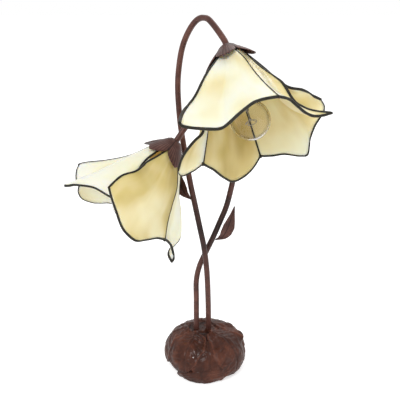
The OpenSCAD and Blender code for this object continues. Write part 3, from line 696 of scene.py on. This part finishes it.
class FLOWER_OT_materials(bpy.types.Operator):
    """Builds the node groups and every material of the lamp"""
    bl_idname = "flower_lamp.materials"
    bl_label = "Materials"

    def execute(self, context):
        g, m = context.scene.flower_glass, context.scene.flower_metal
        mottle_group()
        streak_group()
        bronze, dark = tuple(m.bronze), tuple(m.dark)
        metal_material("stem_bronze", bronze, (0.155, 0.068, 0.052), (0.055, 0.023, 0.019), 0.42,
                       0.3, coat=0.08, shade_band=True)
        metal_material("cast_bronze", bronze, (0.17, 0.075, 0.06), (0.05, 0.02, 0.017), 0.42, 0.3,
                       coat=0.1, relief=True)
        metal_material("base_bronze", dark, (0.16, 0.050, 0.027), (0.044, 0.013, 0.007), 0.5, 0.0,
                       coat=0.32, patch=38.0, grain=420.0, relief=True, bump=0.3, specular=0.05)
        metal_material("black_solder", tuple(g.lead), (0.038, 0.034, 0.025), (0.012, 0.011, 0.008),
                       0.45, 0.1, patch=120.0, grain=700.0, bump=0.25, specular=0.16)
        stops = [(0.98, 0.95, 0.80), (0.97, 0.91, 0.68), tuple(g.light), tuple(g.amber),
                 (0.53, 0.42, 0.13)]
        glass_material("opal_outer", "outer_warmth_and_shade", stops, 0.3, 0.24)
        glass_material("opal_inner", "inner_warmth_and_shade", stops, 2.1, 0.32)
        plain_material("spun_brass", (0.72, 0.5, 0.22), 0.3, metallic=1.0)
        plain_material("zinc_steel", (0.55, 0.55, 0.56), 0.34, metallic=1.0)
        plain_material("white_porcelain", (0.82, 0.8, 0.74), 0.25, coat=0.5, vary=0.04)
        plain_material("green_felt", (0.03, 0.05, 0.035), 0.95, vary=0.3, grain=2500.0, bump=0.8)
        plain_material("black_rubber", (0.02, 0.02, 0.02), 0.6, vary=0.2)
        plain_material("bulb_mount", (0.28, 0.27, 0.26), 0.35, metallic=0.8)
        _, n, shader = new_material("clear_bulb")
        faint = n.group("mottle", Patch_Size=20.0, Grain_Size=300.0)
        # Painted shade: the clear glass is tinted darker and browner towards its edges
        facing = n.add("LayerWeight", Blend=0.35).outputs["Facing"]
        tint = n.ramp(facing, [(0.3, (0.93, 0.91, 0.86)), (0.93, (0.42, 0.36, 0.25))])
        faint = n.math("MULTIPLY", faint.outputs[0], 0.06)
        n.fill(shader, Base_Color=n.mix(faint, tint, (0.9, 0.88, 0.8)), Roughness=0.0,
               Transmission_Weight=1.0, IOR=1.05, Coat_Weight=0.25)
        return {"FINISHED"}


# ---- glass operators

def each_petal():
    """Each petal's flower and number, the petal, its flower's place and its tones."""
    for flower, matrix, shapes in (("upper", UPPER, UP_PETALS), ("lower", LOWER, LOW_PETALS)):
        for k, shape in enumerate(shapes, 1):
            yield flower, k, Petal(*shape), matrix, WARMTH_AND_SHADE[flower][k - 1]


class FLOWER_OT_petals(bpy.types.Operator):
    """Bends the glass petals of both flowers"""
    bl_idname = "flower_lamp.petals"
    bl_label = "Glass petals"

    def execute(self, context):
        for flower, k, petal, matrix, tones in each_petal():
            petal_glass(f"{flower}_glass_{k}", petal, matrix, f"{flower}_petal_{k}", tones)
        return {"FINISHED"}


class FLOWER_OT_leads(bpy.types.Operator):
    """Runs solder beads along the rims, free edges and seams"""
    bl_idname = "flower_lamp.leads"
    bl_label = "Lead and solder"

    def execute(self, context):
        for flower, k, petal, matrix, tones in each_petal():
            petal_lead(f"{flower}_solder_{k}", petal, matrix, f"{flower}_lead_{k}", tones)
        return {"FINISHED"}


# ---- calyxes

SEPALS = 5
STEP = 360 / SEPALS


def sepal_in(r):
    """Height of the sepals' inner face at the radius r."""
    return 6 + (r - 20.5) * 0.98


def calyx_piece(name, matrix, turn, node):
    """Ribbed, pointed sepals on a hollow cap, as one closed skin."""
    bm = bmesh.new()

    def section(x):
        """Closed section at distance x from a sepal's middle, -1 to 1."""
        ax = np.abs(x)
        reach = 25 + 18 * (1 - ax) ** 0.6
        rib = 0.9 * (1 - ax) - 0.5 * np.exp(-(ax / 0.05) ** 2) + 0.4 * np.cos(ax * 30) * (1 - ax)
        a, b = 18 + (reach - 18) * 0.35, 18 + (reach - 18) * 0.7
        z = 0 * ax
        outer = [[reach, sepal_in(reach) - 1.2], [b, sepal_in(b) - 2.4 - rib],
                 [a, sepal_in(a) - 2.8 - rib], [z + 18, sepal_in(18) - 2.9 - rib * 0.9],
                 [z + 13.5, z - 5.2 - rib * 0.5], [z + 9.5, z - 8.6], [z + 7, z - 9.6],
                 [z + 5.2, z - 9.6]]
        inner = [[z + 5.2, z + 6.8], [z + 8, z + 6.8], [z + 8, z - 4], [z + 12.5, z - 2],
                 [z + 18, z + sepal_in(18)], [b, sepal_in(b)], [reach, sepal_in(reach)]]
        return np.moveaxis(np.array(outer + inner), 2, 0)

    def place(u, v):
        angle = u * 360
        x = (angle - STEP * np.floor((angle + STEP / 2) / STEP)) / (STEP / 2)
        s = section(x)
        f = v * s.shape[1]
        i = np.floor(f).astype(int) % s.shape[1]
        j = (i + 1) % s.shape[1]
        t = (f - np.floor(f))[:, None]
        n = np.arange(len(u))
        p = s[n, i] * (1 - t) + s[n, j] * t
        return moved(matrix, polar(np.stack([turn + angle, p[:, 0], p[:, 1]], -1)))

    # Painted shade and highlight: lighter and darker along the ribs, painted shade where the sepals
    # meet
    def relief(u, v):
        x = np.abs((u * 360 + STEP / 2) % STEP - STEP / 2) / (STEP / 2)
        return np.clip(0.6 + 0.35 * np.cos(x * 30) - 0.5 * smoothstep(0.82, 1.0, x), 0, 1)
    sheet(bm, 160, 45, place, wrap_u=True, wrap_v=True, masks={"relief": relief})
    finished(name, mended(bm), LAMP, node, "bronze", "cast_bronze")


class FLOWER_OT_calyxes(bpy.types.Operator):
    """Casts the calyx of each flower"""
    bl_idname = "flower_lamp.calyxes"
    bl_label = "Calyxes"

    def execute(self, context):
        calyx_piece("upper_sepals", UPPER, 36, "upper_calyx")
        calyx_piece("lower_sepals", LOWER, 57, "lower_calyx")
        return {"FINISHED"}


# ---- stems and leaves

def axis_of(az, inc):
    """Direction of a flower's axis."""
    az, inc = math.radians(az), math.radians(inc)
    return np.array([math.sin(inc) * math.cos(az), math.sin(inc) * math.sin(az), -math.cos(inc)])


# Centre lines of the stems, from inside the base to the flower's axis
TALL = [[5.5, 0, 46], [5.5, 0, 72], [4.5, -5, 132], [2, -8, 190], [-3, -8.5, 235], [-10, -5, 270],
        [-18.5, 3, 310], [-26, 13, 343], [-33, 24, 380], [-39, 33, 415], [-44, 39, 450],
        [-47, 43, 500], [-45, 43, 536], [-38.5, 38, 572], [-27, 29, 600], [-14, 17, 617.5],
        [-1, 3, 621.5], [9.5, -12, 614.5]] + [UPPER_AT + s * axis_of(UPPER_WAY, UPPER_TILT)
                                               for s in (-18, 4, 24)]
SHORT = [[-16.5, 0, 46], [-16.5, 0, 72], [-16.5, 4, 128], [-16.5, 6, 165], [-11, 7, 193],
         [0.5, 7, 221], [12.5, 7, 248], [25, 7, 279], [35, 8, 305], [42, 10, 333], [47, 12, 360],
         [48.5, 15, 392], [44, 18, 428], [31, 19.5, 459], [11, 18, 474], [-10, 14, 470],
         [-30, 8.5, 450]] + [LOWER_AT + s * axis_of(LOWER_WAY, LOWER_TILT) for s in (-12, 6, 24)]


def stem_piece(name, path, node):
    """A bent round tube."""
    c = even_space(path, 260) * MM
    along = unit(np.gradient(c, axis=0))
    side = unit(np.cross(along, [0.25, 1, 0.1]))
    up = np.cross(along, side)
    r = bpy.context.scene.flower_metal.tube / 2
    bm = bmesh.new()
    tube(bm, c, side, up, r, r, around=28, round_ends=False)
    finished(name, mended(bm), LAMP, node, "bronze", "stem_bronze")


class FLOWER_OT_stems(bpy.types.Operator):
    """Bends the two tubes"""
    bl_idname = "flower_lamp.stems"
    bl_label = "Stems"

    def execute(self, context):
        stem_piece("tall_tube", TALL, "tall_stem")
        stem_piece("short_tube", SHORT, "short_stem")
        return {"FINISHED"}


# Half widths of a stem's leaf from its stalk to its tip, how much it folds up beside its rib,
# and half its thickness
LEAF_WIDTHS, LEAF_FOLD, LEAF_HALF = [1.2, 6, 9.5, 10, 7, 3.5, 0.8], 0.45, 1.1


def leaf_piece(name, rib, flat, lift, node):
    """A veined leaf folded about its midrib, wide along flat and folded up along lift."""
    c = even_space(rib, 60)
    flat, lift = unit(flat), np.asarray(lift, float)
    bm = bmesh.new()

    def half_of(u):
        """Place across the leaf, -1 to 1, for the front face and then back for the rear one."""
        return np.where(u <= 0.5, 4 * u - 1, 3 - 4 * u)

    def height(x, v):
        """Height of the side veins over the face, less the groove along the rib."""
        ax = np.abs(x)
        vein = 0.35 * np.cos((v * 9 - ax * 2.4) * 2 * np.pi) * (1 - ax) * ax * 2
        return vein - 0.7 * np.exp(-(x / 0.07) ** 2)

    def place(u, v):
        x = half_of(u)
        top = np.where(u <= 0.5, 1.0, -1.0)
        w = pick(LEAF_WIDTHS, v)
        p = pick(c, v) + (x * w)[:, None] * flat + (np.abs(x) * w * LEAF_FOLD)[:, None] * lift
        t = LEAF_HALF * (1 - 0.55 * x * x) * np.minimum(1, 8 * np.minimum(v + 0.04, 1.04 - v))
        return (p + (top * t + height(x, v) * (top > 0))[:, None] * lift) * MM

    # Painted shade in the rib's groove and painted highlight on the veins
    def relief(u, v):
        return np.clip(0.6 + height(half_of(u), v), 0, 1)
    sheet(bm, 64, 60, place, wrap_u=True, masks={"relief": relief})
    bmesh.ops.holes_fill(bm, edges=[e for e in bm.edges if e.is_boundary], sides=0)
    finished(name, mended(bm), LAMP, node, "bronze", "cast_bronze")


class FLOWER_OT_leaves(bpy.types.Operator):
    """Casts the leaf of each stem"""
    bl_idname = "flower_lamp.leaves"
    bl_label = "Stem leaves"

    def execute(self, context):
        leaf_piece("short_stem_leaf", [[16.6, 5.8, 244], [29, 1, 252], [38, -3, 272],
                                       [44, -5, 292], [48.5, -4, 310]],
                   [0.86, 0, -0.35], [0.3, -0.9, 0.3], "short_leaf")
        leaf_piece("tall_stem_leaf", [[-25, 3, 320], [-36, 8, 329], [-44, 20, 343],
                                      [-48, 27, 358.5], [-53, 33, 372.5]],
                   [0.9, 0, 0.35], [-0.3, -0.9, 0.3], "tall_leaf")
        return {"FINISHED"}


# ---- base

# Profile of the mound from the foot to the crown, as radius and height
MOUND = [[59, 2], [63, 7], [68, 15], [70, 25], [69.5, 35], [66, 45], [60, 54], [51, 61.5],
         [41, 66.5], [32, 69.5], [26, 71], [17, 72.6], [8, 73.6], [0, 73.8]]
# Leaves of the base, last on top: angle, half angle, start and end up the mound, lift, bend,
# how soon each side narrows to the tip, and how much the leaf leans
LEAVES = [[92, 44, 0.02, 0.80, 0, 6, 0.45, 0.45, 0], [148, 42, 0.04, 0.80, 0.6, -8, 0.45, 0.45, 0],
          [30, 42, 0.16, 0.80, 0.8, 8, 0.45, 0.45, 0], [176, 40, 0.12, 0.80, 1.2, 8, 0.45, 0.45, 0],
          [-84, 30, 0.0, 0.66, 0.2, 0, 0.4, 0.4, 0], [-40, 46, 0.03, 0.80, 1.9, -6, 0.65, 0.65, 0],
          [-96, 46, -0.12, 0.24, 2.4, 0, 0.45, 0.45, 0.0026],
          [-122, 40, 0.18, 0.80, 3.0, 4, 0.3, 0.85, 0]]
# Profile of the hollow from under the crown to the foot
HOLLOW = [[0, 67], [12, 67], [34, 66], [47, 60], [60, 46], [64, 28], [61, 14], [54, 2], [59, 2]]
PROUD = 4.2             # how far the leaves stand off the mound
CROWN_SHIFT = 5.5       # how far the crown lies to the left, between the stems
CROWN = 0.86            # share of the skin's rows that makes the outside
NOTCH_AT, NOTCH_HALF, NOTCH_TOP = 90, 7.6, 18   # the cable bush's notch in the rear edge
# Tips of leaves that curl away from the mound on the right: angle, place up it, and height
TIPS = ((22, 0.60, 3.5), (2, 0.47, 6.0))
# Lumps where the leaves gather at the crown: angle, place up the mound, and half width
LUMPS = [(33 * k + 8 * math.sin(5 * k), 0.80 + 0.05 * (k % 3), 17) for k in range(11)] + [
    (-104, 0.66, 7), (-92, 0.71, 6), (-116, 0.7, 7), (-80, 0.64, 5)]


def crumpled(points, size, high, seed):
    """Sharp-crested creases over points in millimetres."""
    return np.array([high * (noise.ridged_multi_fractal(Vector(p) / size + Vector((seed, 0, 0)),
                                                        0.9, 2.0, 3, 0.9, 1.6) - 1.0)
                     for p in points.reshape(-1, 3)]).reshape(points.shape[:-1])


def leaf_relief(angle, s, crumple):
    """Height of the overlapping leaves over the mound, and the painted shade and highlight at each
    spot.
    """
    best, painted_light = np.zeros_like(s), np.full_like(s, 0.4)
    veins = bpy.context.scene.flower_metal.veins
    for a0, half, lo, hi, lift, bend, left, right, lean in LEAVES:
        d = off_angle(angle, a0)
        q = (s - lean * d - lo) / (hi - lo)
        d = d - bend * (q - 0.5) ** 2 * 4
        w = (1.58 * half * np.maximum(0, q) ** np.where(d < 0, left, right)
             * np.maximum(0, 1 - q) ** 0.25 + 0.01)
        w = w * (1 + 0.045 * np.sin(q * 19 + a0) + 0.02 * np.sin(q * 43 + a0))
        x = np.abs(d) / w
        wave = (q * veins + x * 1.9 + 0.25 * np.sin(q * 11 + a0)) * 2 * np.pi
        vein = (np.cos(wave) + 0.35 * np.cos(2 * wave + 1)) * smoothstep(0.06, 0.3, x) * (1.1 - x)
        curl = np.exp(-((x - 0.88) / 0.08) ** 2)
        fold = 0.6 * np.sin(d * 0.21 + q * 5 + a0) * (1 - x)
        rib = np.exp(-(x / 0.045) ** 2)
        h = (lift * 0.6 + PROUD * (0.35 + 0.6 * (1 - x * x)) * smoothstep(1.0, 0.95, x)
             + 0.55 * vein + 1.3 * curl + fold - 1.0 * rib)
        on = (q > 0) & (q < 1) & (x < 1) & (h > best)
        best = np.where(on, h, best)
        # Painted highlight on veins and curled rims, painted shade in the midrib's groove and where
        # a leaf's edge steps down
        tone = 0.66 + 0.12 * vein + 0.3 * curl - 0.25 * rib - 0.9 * smoothstep(0.93, 1.0, x)
        painted_light = np.where(on, tone, painted_light)
    best = best + crumple
    # Painted shade in the creases and painted highlight on their crests
    painted_light = painted_light + 0.14 * crumple
    for a, at, high in TIPS:
        tip = np.exp(-(off_angle(angle, a) / 11) ** 2 - ((s - at) / 0.12) ** 2)
        best = best + high * tip * smoothstep(at - 0.07, at - 0.02, s)
    for a, at, wide in LUMPS:
        d = np.hypot(off_angle(angle, a) / wide, (s - at) / 0.035)
        lump = np.exp(-d * d)
        best = best + 2.1 * lump
        # Painted highlight on the lumps at the crown
        painted_light = np.maximum(painted_light, 0.95 * lump)
    return best, np.clip(painted_light, 0, 1)


def base_piece():
    """The hollow casting: its leafy outside and its plain inside, as one closed skin."""
    bm = bmesh.new()
    mound = even_space([[r, 0, z] for r, z in MOUND], 400)[:, [0, 2]]
    hollow = np.array(HOLLOW, float)

    def leaves(angle, s):
        """Height of the relief, and its painted shade and highlight."""
        m = pick(mound, s)
        a = np.radians(angle)
        on = np.stack([m[:, 0] * np.cos(a), m[:, 0] * np.sin(a), m[:, 1]], -1)
        return leaf_relief(angle, s, crumpled(on, 17, 0.9, 3) + crumpled(on, 6, 0.32, 40))

    def outer(angle, s):
        """Radius and height of the outside, with a bulge and a dent in its foot."""
        m = pick(mound, s)
        t = pick(mound, np.minimum(1, s + 0.015)) - pick(mound, np.maximum(0, s - 0.015))
        out = unit(np.stack([t[:, 1], -t[:, 0]], -1))
        h = leaves(angle, s)[0] * np.clip(9 * (1 - s), 0, 1)
        bulge = np.exp(-(off_angle(angle, -98) / 26) ** 2)
        dent = np.exp(-(off_angle(angle, -50) / 8) ** 2)
        foot = np.where(s < 0.17, (1 - s / 0.17) * (6 * bulge - 4 * dent), 0)
        return (np.maximum(0, m[:, 0] + foot + h * out[:, 0]),
                np.maximum(2, m[:, 1] + h * out[:, 1]))

    def place(u, v):
        angle = u * 360
        r, z = outer(angle, np.clip(v / CROWN, 0, 1))
        inner = v > CROWN + 1e-9
        ri, zi = pick(hollow, np.clip((v - CROWN) / (1 - CROWN), 0, 1)).T
        near = np.abs(off_angle(angle, NOTCH_AT)) < NOTCH_HALF
        r, z = np.where(inner, ri, r), np.where(inner, zi, z)
        z = np.where(near & (z < NOTCH_TOP), NOTCH_TOP, z)
        r = np.where(np.abs(v - CROWN) < 1e-9, 0, r)
        a = np.radians(angle)
        drift = np.clip((42 - r) / 15, 0, 1)
        return np.stack([r * np.cos(a) - CROWN_SHIFT * drift, r * np.sin(a), z], -1) * MM

    def relief(u, v):
        painted_light = leaves(u * 360, np.clip(v / CROWN, 0, 1))[1]
        return np.where(v > CROWN, 0.4, painted_light)
    sheet(bm, 400, 150, place, wrap_u=True, wrap_v=True, masks={"relief": relief})
    finished("leaf_casting", mended(bm), LAMP, "base_casting", "dark_bronze", "base_bronze")


class FLOWER_OT_base(bpy.types.Operator):
    """Casts the hollow base of overlapping veined leaves"""
    bl_idname = "flower_lamp.base"
    bl_label = "Leaf base"

    def execute(self, context):
        base_piece()
        return {"FINISHED"}


# ---- bulbs and fittings

GLOBE_AT, NECK_TOP = 120, 94.6      # height of the globe's middle, and of the end of its neck
# Radius of the glass's outer and inner face, and their necks as radius and height
GLOBE_FACES = ((30.0, [[11.6, 87.4], [13.2, 91.0]]), (29.0, [[10.4, 87.4], [12.1, 91.0]]))


def bulb_piece(name, matrix, body, node):
    """A thin blown globe with its neck, spun about the bulb's axis."""
    bm = bmesh.new()
    for r, neck in GLOBE_FACES:
        start = math.acos(-(GLOBE_AT - NECK_TOP) / r)
        line = neck + [[r * math.sin(t), GLOBE_AT + r * math.cos(t)]
                       for t in np.linspace(start, 0, 40)]
        verts = [bm.verts.new((max(p[0], 0), 0, p[1])) for p in line]
        edges = [bm.edges.new(pair) for pair in zip(verts, verts[1:])]
        bmesh.ops.spin(bm, geom=verts + edges, axis=(0, 0, 1), cent=(0, 0, 0), angle=2 * math.pi,
                       steps=72, use_merge=True)
    bmesh.ops.remove_doubles(bm, verts=bm.verts, dist=1e-4)
    bmesh.ops.bridge_loops(bm, edges=[e for e in bm.edges if e.is_boundary])
    bm.transform(matrix)
    finished(name, mended(bm), body, node, "clear_glass", "clear_bulb")


class FLOWER_OT_bulbs(bpy.types.Operator):
    """Blows the clear globes"""
    bl_idname = "flower_lamp.bulbs"
    bl_label = "Bulbs"

    def execute(self, context):
        bulb_piece("upper_globe", UPPER, "upper_bulb", "upper_bulb_glass")
        bulb_piece("lower_globe", LOWER, "lower_bulb", "lower_bulb_glass")
        return {"FINISHED"}


# Finish of each plain part, by the end of its node's name
FITTINGS = {
    "spun_brass": ("collar", "lock_nuts", "holder_cap", "contact", "bulb_cap"),
    "white_porcelain": ("holder_body", "insulator", "terminal_block"),
    "bulb_mount": ("filament",),
    "zinc_steel": ("base_plate", "plate_screws", "stem_washers", "stem_nuts"),
    "green_felt": ("felt_foot",),
    "black_rubber": ("cable_bush",),
    "base_bronze": ("stem_boss",),
}


class FLOWER_OT_fittings(bpy.types.Operator):
    """Gives the lampholders, base hardware and other plain parts their finishes"""
    bl_idname = "flower_lamp.fittings"
    bl_label = "Fittings"

    def execute(self, context):
        for finish, endings in FITTINGS.items():
            for node, obj in frame["nodes"].items():
                if node.endswith(endings):
                    for part in [obj, *obj.children_recursive]:
                        for s in part.material_slots:
                            s.link = "OBJECT"
                            s.material = material(finish)
        return {"FINISHED"}


# ---- stage

def aimed(obj, at, target):
    """Puts a light or camera at a place and points it at another."""
    obj.location = at
    obj.rotation_euler = (Vector(target) - Vector(at)).to_track_quat("-Z", "Y").to_euler()


def soft_light(name, at, height, power, size):
    """A round soft light aimed at a height on the lamp's axis."""
    data = bpy.data.lights.new(name, "AREA")
    data.shape, data.size, data.energy = "DISK", size, power
    aimed(linked(name, data), at, (0, 0, height))


AMBIENT = 0.58      # the world's light on the object
FLOOR_GLOW = 0.55   # what the floor needs on top of the lights to be seen as white


def seen_white(n):
    """Mask of the rays that see the background itself."""
    path = n.add("LightPath")
    a = n.math("ADD", path.outputs["Is Camera Ray"], path.outputs["Is Glossy Ray"])
    return n.math("ADD", a, path.outputs["Is Transmission Ray"], clamp=True)


class FLOWER_OT_stage(bpy.types.Operator):
    """Sets the floor, the soft light and the camera"""
    bl_idname = "flower_lamp.stage"
    bl_label = "Stage"

    def execute(self, context):
        scene, st = context.scene, context.scene.flower_stage
        scene.view_settings.view_transform = "Standard"
        world = scene.world or bpy.data.worlds.new("studio")
        scene.world = world
        world.use_nodes = True
        world.node_tree.nodes.clear()
        n = Nodes(world.node_tree)
        level = n.math("MULTIPLY_ADD", seen_white(n), 1 - AMBIENT, AMBIENT)
        back = n.add("Background", Color=(1, 1, 1), Strength=level)
        n.add("OutputWorld", Surface=back.outputs[0])

        bm = bmesh.new()
        bmesh.ops.create_grid(bm, x_segments=8, y_segments=8, size=6)
        mesh = bpy.data.meshes.new("floor")
        bm.to_mesh(mesh)
        bm.free()
        floor = linked("floor", mesh)
        pale, n, shader = new_material("pale_floor")
        n.fill(shader, Base_Color=(0.92, 0.92, 0.92), Roughness=0.9, Specular_IOR_Level=0.0)
        glow = n.add("Emission", Color=(1, 1, 1),
                     Strength=n.math("MULTIPLY", seen_white(n), FLOOR_GLOW))
        both = n.add("AddShader")
        n.set(both, 0, shader.outputs[0])
        n.set(both, 1, glow.outputs[0])
        n.set(n.tree.nodes["Material Output"], 0, both.outputs[0])
        mesh.materials.append(pale)

        soft_light("spark", (-0.5, -1.9, 2.1), 0.2, st.spark, 0.08)
        soft_light("key", (-1.1, -1.7, 1.9), 0.35, st.key, 1.2)
        soft_light("fill", (1.6, -1.1, 1.0), 0.35, st.fill, 1.4)
        soft_light("back", (0.6, 1.6, 1.7), 0.4, st.fill, 1.4)
        data = bpy.data.cameras.new("camera")
        data.sensor_width, data.lens = 36.0, st.lens
        cam = linked("camera", data)
        aimed(cam, tuple(st.eye), tuple(st.target))
        scene.camera = cam
        return {"FINISHED"}


class FLOWER_PT_panel(bpy.types.Panel):
    """Every piece of the lamp, with its settings"""
    bl_label = "Flower Lamp"
    bl_idname = "FLOWER_PT_panel"
    bl_space_type = "VIEW_3D"
    bl_region_type = "UI"
    bl_category = "Flower Lamp"

    def draw(self, context):
        for op in PIECES:
            self.layout.operator(op.bl_idname)
        for group in (context.scene.flower_glass, context.scene.flower_metal,
                      context.scene.flower_stage):
            box = self.layout.box()
            for key in group.bl_rna.properties.keys():
                if key not in ("rna_type", "name"):
                    box.prop(group, key)


PIECES = (FLOWER_OT_materials, FLOWER_OT_petals, FLOWER_OT_leads, FLOWER_OT_calyxes,
          FLOWER_OT_stems, FLOWER_OT_leaves, FLOWER_OT_base, FLOWER_OT_bulbs, FLOWER_OT_fittings,
          FLOWER_OT_stage)
CLASSES = (GlassSettings, MetalSettings, StageSettings, *PIECES, FLOWER_PT_panel)


def register():
    for c in CLASSES:
        bpy.utils.register_class(c)
    bpy.types.Scene.flower_glass = PointerProperty(type=GlassSettings)
    bpy.types.Scene.flower_metal = PointerProperty(type=MetalSettings)
    bpy.types.Scene.flower_stage = PointerProperty(type=StageSettings)


def unregister():
    del bpy.types.Scene.flower_stage
    del bpy.types.Scene.flower_metal
    del bpy.types.Scene.flower_glass
    for c in reversed(CLASSES):
        bpy.utils.unregister_class(c)


def main():
    register()
    for c in PIECES:
        group, name = c.bl_idname.split(".")
        getattr(getattr(bpy.ops, group), name)()


if __name__ == "__main__":
    main()
